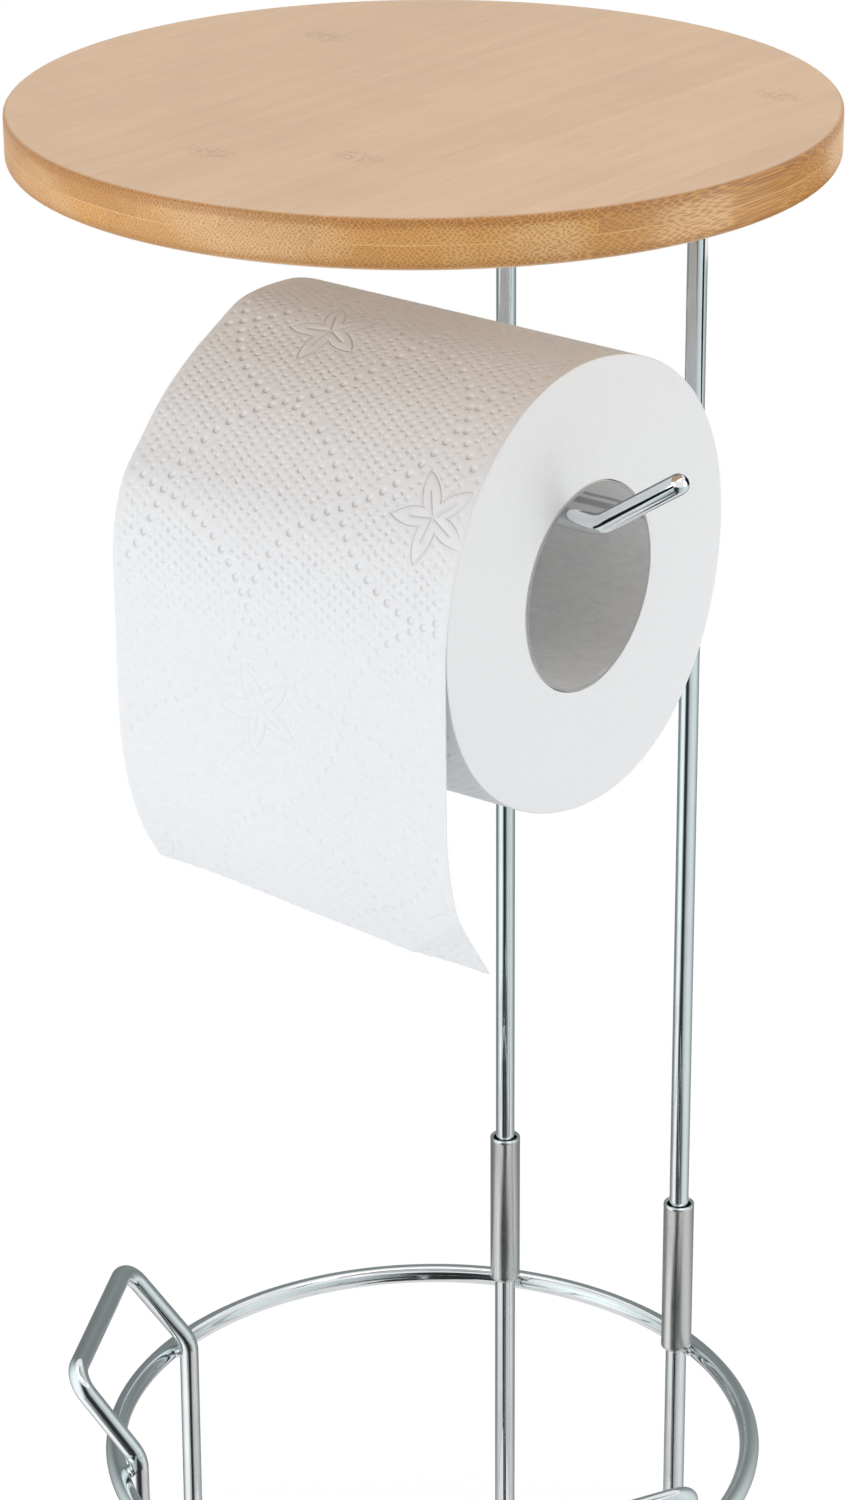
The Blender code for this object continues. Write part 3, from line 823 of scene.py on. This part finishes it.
def from_spot(x, y, x_step, y_step):
    """The distance to the nearest spot of shifted rows of spots, like the middles of bricks."""
    nearest = calc(
        "MINIMUM", from_lines(x, x_step, 0.0) + from_lines(y, y_step, 0.0),
        from_lines(x, x_step, 0.5) + from_lines(y, y_step, 0.5),
    )
    return calc("SQRT", nearest)


# the material's own sizes are in mm
grain_turn = radians(2.6)
ply_height = ply_joint * 1000
ply_thickness = 5.8
strip_width = 21.0
strip_shift = 7.43
bundle_steps = (0.90, 1.22)
bundle_wander = (2.6, 2.2)
cane_joints = [(-7.9, -62.8), (19.0, -46.0), (-55.0, 30.0), (62.0, 52.0)]
cane_joint_reach = (8.5, 4.6)
glue_half = 0.10

bamboo, bamboo_shader, bamboo_place = start_material("bamboo")
grain_place = stretched(bamboo_place, (1000, 1000, 1000), grain_turn)
across, along, height = split(grain_place)
from_joint = abs(height - ply_height)
edge_share = own_value(bamboo.node_tree, "edge_share")

# strips of the board, each with its own tone; the lower ply's are shifted
lower_ply = height < ply_height
strip_number = calc("FLOOR", across / strip_width + lower_ply * strip_shift)
strip_tone = add_node("ShaderNodeTexWhiteNoise", {"W": strip_number}, noise_dimensions="1D")
strip_tone = Reading(strip_tone.outputs["Value"])

# fibre bundles: long cells in shifted rows, which wander a little out of line and are larger near
# the cane's skin, at the board's two faces
wander_x, wander_y, _ = split(noise(joined(across, along * 0.03, height), 0.45, 2.0, output="Color"))
bundle_x = across + (wander_x - 0.5) * bundle_wander[0]
bundle_y = height + (wander_y - 0.5) * bundle_wander[1]
from_skin = ply_thickness - from_joint
bundle_size = spread(from_skin, 0.5, 4.5, 0.34, 0.25)
from_bundle = from_spot(bundle_x, bundle_y, *bundle_steps) - bundle_size
bundle = spread(from_bundle, -0.10, 0.10, 1.0, 0.0, smooth=True)

# finer grain, slow changes of tone, and joints of the cane that show as flecked patches
fine_place = joined(across, along * 0.02, height)
fine_grain = noise(fine_place, 2.6, 3.0, 0.6)
broad_grain = noise(fine_place, 0.22, 2.0)
patch_tone = noise(grain_place, 0.035, 2.0)
joint_fleck = spread(noise(grain_place, 0.9, 2.0, 0.7), 0.47, 0.58)
joint_share = None
for joint_x, joint_y in cane_joints:
    share_x = calc("POWER", (across - joint_x) / cane_joint_reach[0], 2.0)
    share_y = calc("POWER", (along - joint_y) / cane_joint_reach[1], 2.0)
    share = calc("SUBTRACT", 1.0, share_x + share_y, clamp=True)
    joint_share = share if joint_share is None else calc("MAXIMUM", joint_share, share)

# the flat faces' colour
flat_share = spread(fine_grain * 0.7 + broad_grain * 0.3, 0.33, 0.67)
flat_colour = mixed(flat_share, (0.690, 0.437, 0.254), (0.820, 0.560, 0.352))
flat_colour = mixed(joint_share * joint_fleck * 0.55, flat_colour, (0.40, 0.22, 0.13))

# the edge's colour: golden strips with pale patches, browner under the skin, dark bundles, and the
# plies' glue joint as a pale line
skin_depth = from_skin - noise(grain_place, 0.05, 2.0) * 1.6
skin_share = spread(skin_depth, 0.7, 2.0, 1.0, 0.0, smooth=True) * (1.0 - lower_ply * 0.5)
pale_share = spread(patch_tone, 0.46, 0.62, 0.0, 0.80, smooth=True)
edge_colour = mixed(strip_tone, (0.60, 0.290, 0.080), (0.70, 0.362, 0.108))
edge_colour = mixed(pale_share, edge_colour, (0.74, 0.458, 0.208))
edge_colour = mixed(skin_share * 0.80, edge_colour, (0.59, 0.275, 0.060))
edge_colour = mixed(bundle * spread(skin_share, 0.0, 1.0, 0.52, 0.82), edge_colour, (0.34, 0.145, 0.045))
glue_share = (from_joint < glue_half) * calc("SUBTRACT", 0.60, pale_share, clamp=True)
edge_colour = mixed(glue_share, edge_colour, (0.85, 0.58, 0.28))

board_tone = spread(strip_tone, 0.0, 1.0, 0.965, 1.035) * spread(patch_tone, 0.3, 0.7, 0.97, 1.03)
board_grey = add_node("ShaderNodeCombineColor", {"Red": board_tone, "Green": board_tone, "Blue": board_tone})
board_colour = mixed(edge_share, flat_colour, edge_colour)
fill(bamboo_shader, {
    "Base Color": mixed(1.0, board_colour, board_grey.outputs[0], "MULTIPLY"),
    "Roughness": spread(fine_grain, 0.3, 0.7, 0.38, 0.50),
    "Normal": bump(fine_grain * 0.5 - bundle * 0.5, 0.35, 0.00006),
})

shelf = add_piece("bamboo_round", [shelf_surface()], bamboo, "upper_stand", ["bamboo_shelf"])
shelf_points = np.empty(len(shelf.data.vertices) * 3)
shelf.data.vertices.foreach_get("co", shelf_points)
from_rim = shelf_radius - np.hypot(*shelf_points.reshape(-1, 3)[:, :2].T)
edge_values = np.clip(1 - (from_rim - edge_blend_start) / edge_blend_width, 0, 1)
edge_attribute = shelf.data.attributes.new("edge_share", "FLOAT", "POINT")
edge_attribute.data.foreach_set("value", edge_values.astype(np.float32))


# Roll arm: a 5 mm chromed wire welded across the uprights. It goes round the roll's left end and through
# its core, and its free end is turned up so that the roll stays on.
arm_y = -0.009185
arm_left_x = -0.0601
arm_right_x = 0.0295
arm_bend_radius = 0.010
tip_corner = np.array([0.0560, arm_y, arm_height])
tip_angle = radians(34)
tip_length = 0.028
tip_bend_radius = 0.008
tip_end = tip_corner + np.array([cos(tip_angle), 0, sin(tip_angle)]) * (tip_length - upper_wire_radius)
arm_path = bent_path([
    ((arm_right_x, crossbar_y, arm_height), 0),
    ((arm_left_x, crossbar_y, arm_height), arm_bend_radius),
    ((arm_left_x, arm_y, arm_height), arm_bend_radius),
    (tip_corner, tip_bend_radius),
    (tip_end, 0),
])
dome_angles = radians(90) * np.arange(1, 8) / 8
dome_end = [(sin(angle), cos(angle)) for angle in dome_angles]
add_piece(
    "roll_arm_wire", [wire_surface(arm_path, upper_wire_radius, (0, 0, 1), ends=dome_end)],
    chrome, "upper_stand", ["roll_arm"],
)


# Core: a tube of grey card wound as a spiral, whose butt seam shows as a shallow groove inside. Its cut
# ends are darker, and two dark streaks along its bore are painted shadow that the wire arm casts in it.
roll_y = -0.000481
roll_z = 0.4926
roll_length = 0.0952
core_inner_radius = 0.0242
core_outer_radius = 0.0249
core_edge = 0.0002
seam_pitch = 0.060
seam_width = 0.0007
seam_depth = 0.00012
cut_depth = 0.00015
# two streaks of painted shadow of the arm on the bore's wall: each an angle round the axis and a width, in
# degrees
arm_shadow_streaks = [(34.6, 2.0), (27.2, 4.0)]


def core_surface():
    """The card tube along X; its wall's inner side dips along a helix that climbs one pitch a turn."""
    sides, steps = 160, 70
    angle = np.linspace(0, 2 * pi, sides, endpoint=False)[None]
    inner_x = np.linspace(roll_length / 2 - 0.0001, -roll_length / 2 + 0.0001, steps)[:, None]
    climb = (inner_x / seam_pitch - angle / (2 * pi)) % 1
    from_seam = np.minimum(climb, 1 - climb) * seam_pitch
    inner_r = core_inner_radius + seam_depth * np.exp(-(from_seam / seam_width) ** 2)
    outer_x, outer_r = np.array([
        (-roll_length / 2, core_inner_radius + core_edge), (-roll_length / 2, core_outer_radius - core_edge),
        (-roll_length / 2 + core_edge, core_outer_radius), (roll_length / 2 - core_edge, core_outer_radius),
        (roll_length / 2, core_outer_radius - core_edge), (roll_length / 2, core_inner_radius + core_edge),
    ]).T[..., None]
    x = np.concatenate([inner_x + 0 * angle, outer_x + 0 * angle])
    radius = np.concatenate([inner_r, outer_r + 0 * angle])
    points = np.stack([x, roll_y + radius * np.cos(angle), roll_z + radius * np.sin(angle)], -1)
    return points, grid_quads(len(x), sides, wrap_rows=True, wrap_columns=True).tolist()


core_board, core_shader, core_place = start_material("core_board")
core_fibres = noise(stretched(core_place, (0.35, 1.0, 1.0)), 900.0, 5.0, 0.65)
core_tone = core_fibres * 0.7 + noise(core_place, 60.0, 2.0) * 0.3
core_colour = two_tones(core_tone, 0.35, (0.76, 0.76, 0.76), 0.65, (0.87, 0.87, 0.865))
core_x, core_y, core_z = split(core_place)
core_cut = abs(core_x) > roll_length / 2 - cut_depth
core_turn = calc("ARCTAN2", core_z - roll_z, core_y - roll_y)
# painted shadow: the arm's two dark streaks along the bore
painted_arm_shadow = None
for streak_angle, streak_width in arm_shadow_streaks:
    from_streak = abs(core_turn - radians(streak_angle))
    streak_share = spread(from_streak, radians(streak_width) * 0.4, radians(streak_width), 1.0, 0.0, smooth=True)
    painted_arm_shadow = streak_share if painted_arm_shadow is None else calc("MAXIMUM", painted_arm_shadow, streak_share)
# the darkening holds the darker cut ends and the painted shadow of the arm
core_dark = calc("MAXIMUM", core_cut * 0.70, painted_arm_shadow * 0.60)
fill(core_shader, {
    "Base Color": mixed(core_dark, core_colour, (0.20, 0.20, 0.20)),
    "Roughness": 0.75,
    "Specular IOR Level": 0.3,
    "Normal": bump(core_fibres, 0.3, 0.00005),
})
add_piece("core_tube", [core_surface()], core_board, "roll", ["cardboard_core"])


# Paper roll: soft white tissue wound on the core and a little out of round. Its plies are joined by
# pressing in small dents all over, scalloped rows of larger ones, and a five-petalled flower here and there.
roll_radius = 0.0552
roll_bore_radius = 0.0252
roll_edge_radius = 0.00035
pattern_turn = radians(-7)
pattern_origin = (-16.9, -73.5)
dot_steps = (3.62, 2.78)
dot_width = 0.72
dot_depth = 0.22
pattern_step = 24.65
arc_angle = radians(28)
arc_radius = pattern_step * sin(pi / 4) / sin(arc_angle)
arc_shift = arc_radius * cos(arc_angle) * sin(pi / 4) - pattern_step / 2
row_dents = 10
row_pitch = 2 * arc_angle * arc_radius / row_dents
row_width = 0.85
row_depth = 0.38
lane_width = 2.1
flower_radius = 11.3
flower_waist = 0.34
flower_power = 1.25
flower_turn = radians(-108)
flower_depth = 0.26
petal_angle = 2 * pi / 5
outline_weight = 0.75
vein_reach = 0.6
beyond_vein = 9.0
line_width = 0.5
plain_margin = 1.6
plain_blend = 0.8
fade_width = 0.0035
least_depth = 0.35


def paper_frame(x, s):
    """u and v in mm on the pattern's own axes, of a place x across the paper and s along it."""
    from_x, from_s = x - pattern_origin[0], s - pattern_origin[1]
    u = from_x * cos(pattern_turn) + from_s * sin(pattern_turn)
    v = from_s * cos(pattern_turn) - from_x * sin(pattern_turn)
    return u, v


def dot_pattern(u, v):
    """Round dents on a centred lattice, each exp(-(d / width)^2) of the distance to its middle."""
    nearest = np.full(np.shape(u), 1e9)
    for shift in (0.0, 0.5):
        du = (u / dot_steps[0] - shift) - np.round(u / dot_steps[0] - shift)
        dv = (v / dot_steps[1] - shift) - np.round(v / dot_steps[1] - shift)
        nearest = np.minimum(nearest, (du * dot_steps[0]) ** 2 + (dv * dot_steps[1]) ** 2)
    return np.exp(-nearest / dot_width ** 2)


def emboss(x, s):
    """How deep the paper is pressed in, in mm, at x and s in mm, its share of dots, and its place by a row.

    Cells stand on every second point of a square lattice. Two neighbours share a border of arc_angle to
    both sides of its middle, which bulges away from the upper one where cos(pi a / 2) * cos(pi b / 2) > 0
    at the middle (a, b) between both, and else from the lower one. So the borders run on into wavy lines.
    They carry rows of large dents between flat lanes, some cells hold a flower, and the rest is dotted.
    The place by a row is a vector: the square of the distance from the nearest border, and the cosine and
    the sine of how far the place is along it, with a full turn from dent to dent.
    """
    u, v = paper_frame(x, s)
    i0, j0 = np.round(u / pattern_step), np.round(v / pattern_step)
    rows = np.zeros(np.shape(u))
    lanes = np.zeros(np.shape(u))
    row_off = np.full(np.shape(u), 99.0)
    row_along = np.zeros(np.shape(u))
    for di in (-1, 0, 1):
        for dj in (-1, 0, 1):
            i, j = i0 + di, j0 + dj
            du, dv = u - i * pattern_step, v - j * pattern_step
            middle_u, middle_v = i + np.copysign(0.5, du), j + np.copysign(0.5, dv)
            middle = np.cos(pi / 2 * middle_u) * np.cos(pi / 2 * middle_v)
            shown = ((i + j) % 2 == 0) & ((middle > 0) == (dv > 0))
            beyond_u, beyond_v = np.abs(du) + arc_shift, np.abs(dv) + arc_shift
            off = np.hypot(beyond_u, beyond_v) - arc_radius
            from_middle = np.arctan2(beyond_v, beyond_u) - pi / 4
            dent_turn = row_dents * pi * from_middle / arc_angle
            rows = np.maximum(rows, np.exp(-(off / row_width) ** 2 - 1.3 * (1 - np.cos(dent_turn))) * shown)
            nearer = (off ** 2 < row_off) & shown
            row_off = np.where(nearer, off ** 2, row_off)
            row_along = np.where(nearer, dent_turn, row_along)
            lanes = np.maximum(lanes, np.exp(-(off / lane_width) ** 4) * shown)
    du, dv = u - i0 * pattern_step, v - j0 * pattern_step
    flowered = (i0 % 2 == 0) & ((i0 + j0) % 4 == 0)
    distance = np.hypot(du, dv)
    petal = ((np.arctan2(dv, du) - flower_turn) / petal_angle + 0.5) % 1 - 0.5
    petal_share = (1 - 2 * np.abs(petal)) ** flower_power
    outline = flower_radius * (flower_waist + (1 - flower_waist) * petal_share)
    vein = np.abs(distance * np.sin(petal * petal_angle)) + beyond_vein * (distance > vein_reach * outline)
    lines = np.minimum(outline_weight * np.abs(distance - outline), vein)
    flowers = np.exp(-(lines / line_width) ** 2) * flowered
    plain = flowered * np.clip((outline + plain_margin - distance) / plain_blend, 0, 1)
    dotted = (1 - lanes) * (1 - plain)
    depth = dot_depth * dot_pattern(u, v) * dotted + row_depth * rows + flower_depth * flowers
    return depth, dotted, np.stack([row_off, np.cos(row_along), np.sin(row_along)], -1)


def near(angle, middle, before, after):
    """A wave that is 1 at a middle angle, all in degrees.

    It falls off fast before the middle, exp(-(d / before)^4), and slowly after it, exp(-(d / after)^2).
    """
    off = (np.degrees(angle) - middle + 180) % 360 - 180
    return np.where(off < 0, np.exp(-(off / before) ** 4), np.exp(-(off / after) ** 2))


def roll_outline(angle, x):
    """The wound roll's radius at an angle round its axis and a place along it, for a roll squeezed by hand.

    At the right end a second and a fourth wave press the circle out of round. At the left end it has one
    hollow at the top front and one swelling at the front. Between them the two are mixed by the place.
    """
    right = 0.32 * np.cos(2 * angle) - 1.02 * np.sin(2 * angle) - 0.34 * np.cos(3 * angle)
    right = 0.55 * (right - 0.54 * np.cos(4 * angle) + 0.97 * np.sin(4 * angle))
    left = 2.7 * near(angle, 168, 17.4, 20) - 2.4 * near(angle, 120, 17, 22) - 0.5 * near(angle, 92, 12, 10)
    share = np.clip(x / roll_length + 0.5, 0, 1)
    return roll_radius + 0.001 * (right * share + left * (1 - share))


def roll_surface():
    """The roll as one closed band, with what map_paper needs at each point.

    Each of its lines runs along the outside, over an edge, down a face, through the bore and back up the
    other face, and the lines follow each other round the axis.
    """
    sides = 544
    angle = pi - np.linspace(0, 2 * pi, sides, endpoint=False)[:, None]
    length = np.linspace(-1, 1, 150)[None] * (roll_length / 2 - roll_edge_radius)
    along_paper = -(pi - angle) * roll_radius * 1000
    depth, dotted, row_place = emboss(length * 1000 + 0 * angle, along_paper + 0 * length)
    fade = np.clip((roll_length / 2 - np.abs(length)) / fade_width, 0, 1)
    outer_x = length + 0 * angle
    outer_r = roll_outline(angle, length) - depth / 1000 * (least_depth + (1 - least_depth) * fade)
    bend = np.radians(np.array([22.5, 45, 67.5, 90]))[None]
    edge_x = roll_length / 2 - roll_edge_radius * (1 - np.sin(bend)) + 0 * angle
    share = np.array([0.97, 0.85, 0.68, 0.50, 0.32, 0.15, 0.04, 0.0])[None]
    wave = 0.00012 * np.sin(3 * angle + 9 * share) + 0.00010 * np.sin(17 * share + angle)
    face_x = roll_length / 2 + wave * share * (1 - share) * 4 - 0.0003 * (1 - share) ** 4
    bore_x = np.array([0.6, 0.2, -0.2, -0.6])[None] * roll_length / 2 + 0 * angle
    bore_r = roll_bore_radius + 0 * bore_x
    end_r = []
    for end in (1, -1):
        outline = roll_outline(angle, end * roll_length / 2)
        end_r.append(outline - roll_edge_radius * (1 - np.cos(bend)))
        end_r.append(roll_bore_radius + (outline - roll_edge_radius - roll_bore_radius) * share)
    x = np.concatenate([outer_x, edge_x, face_x, bore_x, -face_x[:, ::-1], -edge_x[:, ::-1]], 1)
    r = np.concatenate([outer_r, end_r[0], end_r[1], bore_r, end_r[3][:, ::-1], end_r[2][:, ::-1]], 1)
    points = np.stack([x, roll_y + r * np.cos(angle), roll_z + r * np.sin(angle)], -1)
    faces = grid_quads(sides, x.shape[1], wrap_rows=True, wrap_columns=True)
    plain_part = 0 * x[:, dotted.shape[1]:]
    dotted = np.concatenate([dotted * fade, plain_part], 1)
    dented = np.concatenate([fade + 0 * depth, plain_part], 1)
    row_place = np.concatenate([row_place, plain_part[..., None] + (99, 1, 0)], 1)
    return points, faces.tolist(), (dotted, dented, row_place)


tissue, tissue_shader, tissue_place = start_material("tissue_paper")
tissue_tree = tissue.node_tree
tissue_crepe = noise(stretched(tissue_place, (0.25, 1.0, 1.0)), 1300.0, 2.0)
tissue_texture = noise(tissue_place, 2400.0, 4.0, 0.65) * 0.5 + tissue_crepe * 0.5

# the crisp hearts of the dents, on the same lattice as in dot_pattern, from the paper's own map in mm
# on the pattern's axes, each a little deeper or shallower than the next and a little out of line
paper_place = add_node("ShaderNodeUVMap", {}, tissue_tree, uv_map="paper_mm").outputs[0]
paper_u, paper_v, _ = split(paper_place)
uneven, stray_u, stray_v = split(noise(paper_place, 0.30, 0.0, output="Color"))
uneven = spread(uneven, 0.3, 0.7, 0.45, 1.35)
dot_u = paper_u + calc("MULTIPLY_ADD", stray_u, 1.2, -0.6)
dot_v = paper_v + calc("MULTIPLY_ADD", stray_v, 1.2, -0.6)
dotted_share = own_value(tissue_tree, "dotted_share")
dented_share = own_value(tissue_tree, "dented_share")
dot_heart = spread(from_spot(dot_u, dot_v, *dot_steps), 0.08, 0.84, 1.0, 0.0, smooth=True)
dot_heart = dot_heart * dotted_share * uneven
row_off, row_cosine, row_sine = split(own_value(tissue_tree, "row_place", "Vector"))
from_dent = calc("ARCTAN2", row_sine, row_cosine) * (row_pitch / (2 * pi))
from_dent = calc("MULTIPLY_ADD", from_dent, from_dent, row_off)
row_heart = spread(from_dent, 0.0, 1.15, 1.0, 0.0, smooth=True) * dented_share

# the flowers' crisp lines, as in emboss
cell_i, cell_j = round(paper_u / pattern_step), round(paper_v / pattern_step)
flower_u, flower_v = paper_u - cell_i * pattern_step, paper_v - cell_j * pattern_step
flowered = (cell_i % 2.0 < 0.5) * ((cell_i + cell_j) % 4.0 < 0.5)
flower_distance = calc("SQRT", flower_u * flower_u + flower_v * flower_v)
petal = calc("MULTIPLY_ADD", calc("ARCTAN2", flower_v, flower_u) - flower_turn, 1 / petal_angle, 0.5)
petal = petal % 1.0 - 0.5
petal_share = calc("POWER", calc("MULTIPLY_ADD", abs(petal), -2.0, 1.0), flower_power)
flower_outline = calc(
    "MULTIPLY_ADD", petal_share, (1 - flower_waist) * flower_radius, flower_waist * flower_radius
)
from_outline = abs(flower_distance - flower_outline)
from_vein = abs(flower_distance * calc("SINE", petal * petal_angle))
from_vein = calc("MULTIPLY_ADD", flower_distance > flower_outline * vein_reach, beyond_vein, from_vein)
from_line = calc("MINIMUM", from_outline * outline_weight, from_vein)
flower_line = spread(from_line, 0.08, 0.55, 1.0, 0.0, smooth=True) * flowered * dented_share

pressed = dot_heart * 0.26 + flower_line * 0.28 + row_heart * 0.40
fill(tissue_shader, {
    "Base Color": two_tones(tissue_texture, 0.3, (0.830, 0.852, 0.876), 0.7, (0.880, 0.902, 0.924)),
    "Roughness": 0.95,
    "Specular IOR Level": 0.15,
    "Sheen Weight": 0.10,
    "Normal": bump(tissue_texture * 0.08 - pressed, 0.8, 0.001),
})


def map_paper(piece, values, across, along):
    """Gives paper its shares of dots and of all dents and its place by a row at each point, and its map.

    across and along hold mm for each point of the grid, and corners of a last row that runs on into the
    first keep counting, one step beyond it. The map holds u and v on the pattern's own axes.
    """
    dotted, dented, row_place = values
    for name, share in (("dotted_share", dotted), ("dented_share", dented)):
        attribute = piece.data.attributes.new(name, "FLOAT", "POINT")
        attribute.data.foreach_set("value", share.ravel().astype(np.float32))
    attribute = piece.data.attributes.new("row_place", "FLOAT_VECTOR", "POINT")
    attribute.data.foreach_set("vector", row_place.ravel().astype(np.float32))
    corner_points = np.empty(len(piece.data.loops), np.int32)
    piece.data.loops.foreach_get("vertex_index", corner_points)
    corner_across = across.ravel()[corner_points]
    corner_along = along.ravel()[corner_points].reshape(-1, 4)
    around = np.ptp(along)
    wrapped = np.ptp(corner_along, axis=1, keepdims=True) > around / 2
    further = wrapped & (corner_along > -around / 2)
    corner_along = np.where(further, corner_along - 2 * pi * roll_radius * 1000, corner_along)
    corners = np.stack(paper_frame(corner_across, corner_along.ravel()), -1)
    paper_map = piece.data.uv_layers.new(name="paper_mm")
    paper_map.uv.foreach_set("vector", corners.ravel().astype(np.float32))


roll_points, roll_faces, roll_values = roll_surface()
wound_paper = add_piece(
    "wound_paper", [(roll_points, roll_faces)], tissue, "roll", ["paper_roll"]
)
roll_along = np.linspace(0, -2 * pi * roll_radius * 1000, len(roll_points), endpoint=False)[:, None]
map_paper(wound_paper, roll_values, roll_points[..., 0] * 1000, roll_along + 0 * roll_points[..., 0])


# Hanging sheet: the roll's free end. It leaves the roll at the front, drops straight, leans back where it
# was bent, and ends in a torn perforation that is longer at its right corner.
sheet_width = 0.0948
sheet_thickness = 0.00040
sheet_start = 0.00003
wrap_length = 0.0115
sheet_left = 0.0800
sheet_right = 0.0880
sheet_lift = 0.00055
sheet_right_power = 2.4
tooth_pitch = 0.0042
sheet_smoothing = 0.6
smoothing_length = 0.020
bend_starts = (0.026, 0.009)
bend_ends = (0.108, -0.029)
leans = (48, -24)
crease_turn = radians(10)
crease_start = 0.0645
crease_slope = 0.088
crease_width = 0.003
sway_height = 0.0006
sway_start = 0.08


def smooth_step(share):
    """A share held from 0 to 1 and eased at both ends, 3 t^2 - 2 t^3."""
    share = np.clip(share, 0, 1)
    return share ** 2 * (3 - 2 * share)


def sheet_surface():
    """The paper's outer side on a grid of x across and s along it, with its inner side a thickness behind.

    Where s is below 0 it lies on the roll and thins out to nothing. Below, it drops, and its lean grows
    by a smooth step between two places along it; y and z are the running sums of the lean's sine and
    cosine. The left side leans further, and a crease turns the right corner back a little more. Its dents
    are shallower than the roll's. Of each pair of values, the first holds at the left edge, and the second
    is what it gains up to the right edge.
    """
    columns, rows = 220, 218
    across = np.linspace(0, 1, columns)[None]
    down = np.linspace(0, 1, rows)[:, None]
    x = (across - 0.5) * sheet_width
    teeth = 0.00022 * np.abs(np.sin(pi * (x + 0.05) / tooth_pitch))
    teeth = teeth + 0.00018 * np.sin(x * 2300) * np.sin(x * 910)
    length = sheet_left + (sheet_right - sheet_left) * across ** sheet_right_power + teeth
    s = -wrap_length + (length + wrap_length) * down
    x = x + 0 * s
    on_roll = np.clip(-s / wrap_length, 0, 1)
    angle = pi - np.clip(-s, 0, None) / roll_radius
    radius = roll_outline(angle, x) + sheet_start + (sheet_lift - sheet_start) * (1 - on_roll) ** 2
    depth, dotted, row_place = emboss(x * 1000, s * 1000)
    edge_fade = np.clip((sheet_width / 2 - np.abs(x)) / fade_width, 0, 1)
    smoothed = 1 - sheet_smoothing * np.clip((s + wrap_length) / smoothing_length, 0, 1)
    depth = depth / 1000 * (least_depth + (1 - least_depth) * edge_fade) * smoothed
    dented = edge_fade * smoothed
    values = [np.stack([value] * 2) for value in (dotted * dented, dented, row_place)]
    bend_start = bend_starts[0] + bend_starts[1] * across
    bend_end = bend_ends[0] + bend_ends[1] * across
    lean = np.radians(leans[0] + leans[1] * across) * smooth_step((s - bend_start) / (bend_end - bend_start))
    past_crease = s - crease_start - crease_slope * (1 - across)
    lean = lean + crease_turn * smooth_step(past_crease / crease_width)
    step = np.diff(np.clip(s, 0, None), axis=0, prepend=np.clip(s[:1], 0, None))
    back = np.cumsum(np.sin(lean) * step, axis=0)
    fall = np.cumsum(np.cos(lean) * step, axis=0)
    sway = sway_height * np.sin(2 * pi * across * 1.3 + 0.6) * np.clip(s / sway_start, 0, 1) ** 1.5
    y = np.where(s > 0, -(radius - depth) + back + sway, np.cos(angle) * (radius - depth))
    z = np.where(s > 0, -fall, np.sin(angle) * (radius - depth))
    outer = np.stack([x, roll_y + y, roll_z + z], -1)
    normal = np.cross(np.gradient(outer, axis=0), np.gradient(outer, axis=1))
    normal /= np.linalg.norm(normal, axis=-1, keepdims=True)
    thickness = sheet_start + (sheet_thickness - sheet_start) * (1 - on_roll)[..., None]
    inner = outer - normal * thickness
    count = rows * columns
    points = np.concatenate([outer.reshape(-1, 3), inner.reshape(-1, 3)])
    faces = grid_quads(rows, columns)
    around = np.concatenate([
        np.arange(columns), np.arange(1, rows) * columns + columns - 1,
        (rows - 1) * columns + np.arange(columns - 2, -1, -1), np.arange(rows - 2, 0, -1) * columns,
    ])
    following = np.roll(around, -1)
    rim = np.stack([around, following, following + count, around + count], -1)
    faces = np.concatenate([faces[:, ::-1], faces + count, rim]).tolist()
    return points, faces, values, np.stack([s * 1000] * 2)


sheet_points, sheet_faces, sheet_values, sheet_along = sheet_surface()
hanging_paper = add_piece(
    "hanging_paper", [(sheet_points, sheet_faces)], tissue, None, ["hanging_sheet"]
)
map_paper(hanging_paper, sheet_values, sheet_points[:, 0] * 1000, sheet_along)
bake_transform(hanging_paper)


# Both boxes, for comparing the dressed stand with its solids
dressed_box = [list(corner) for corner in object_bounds()]
{"cad": cad_box, "scene": dressed_box}
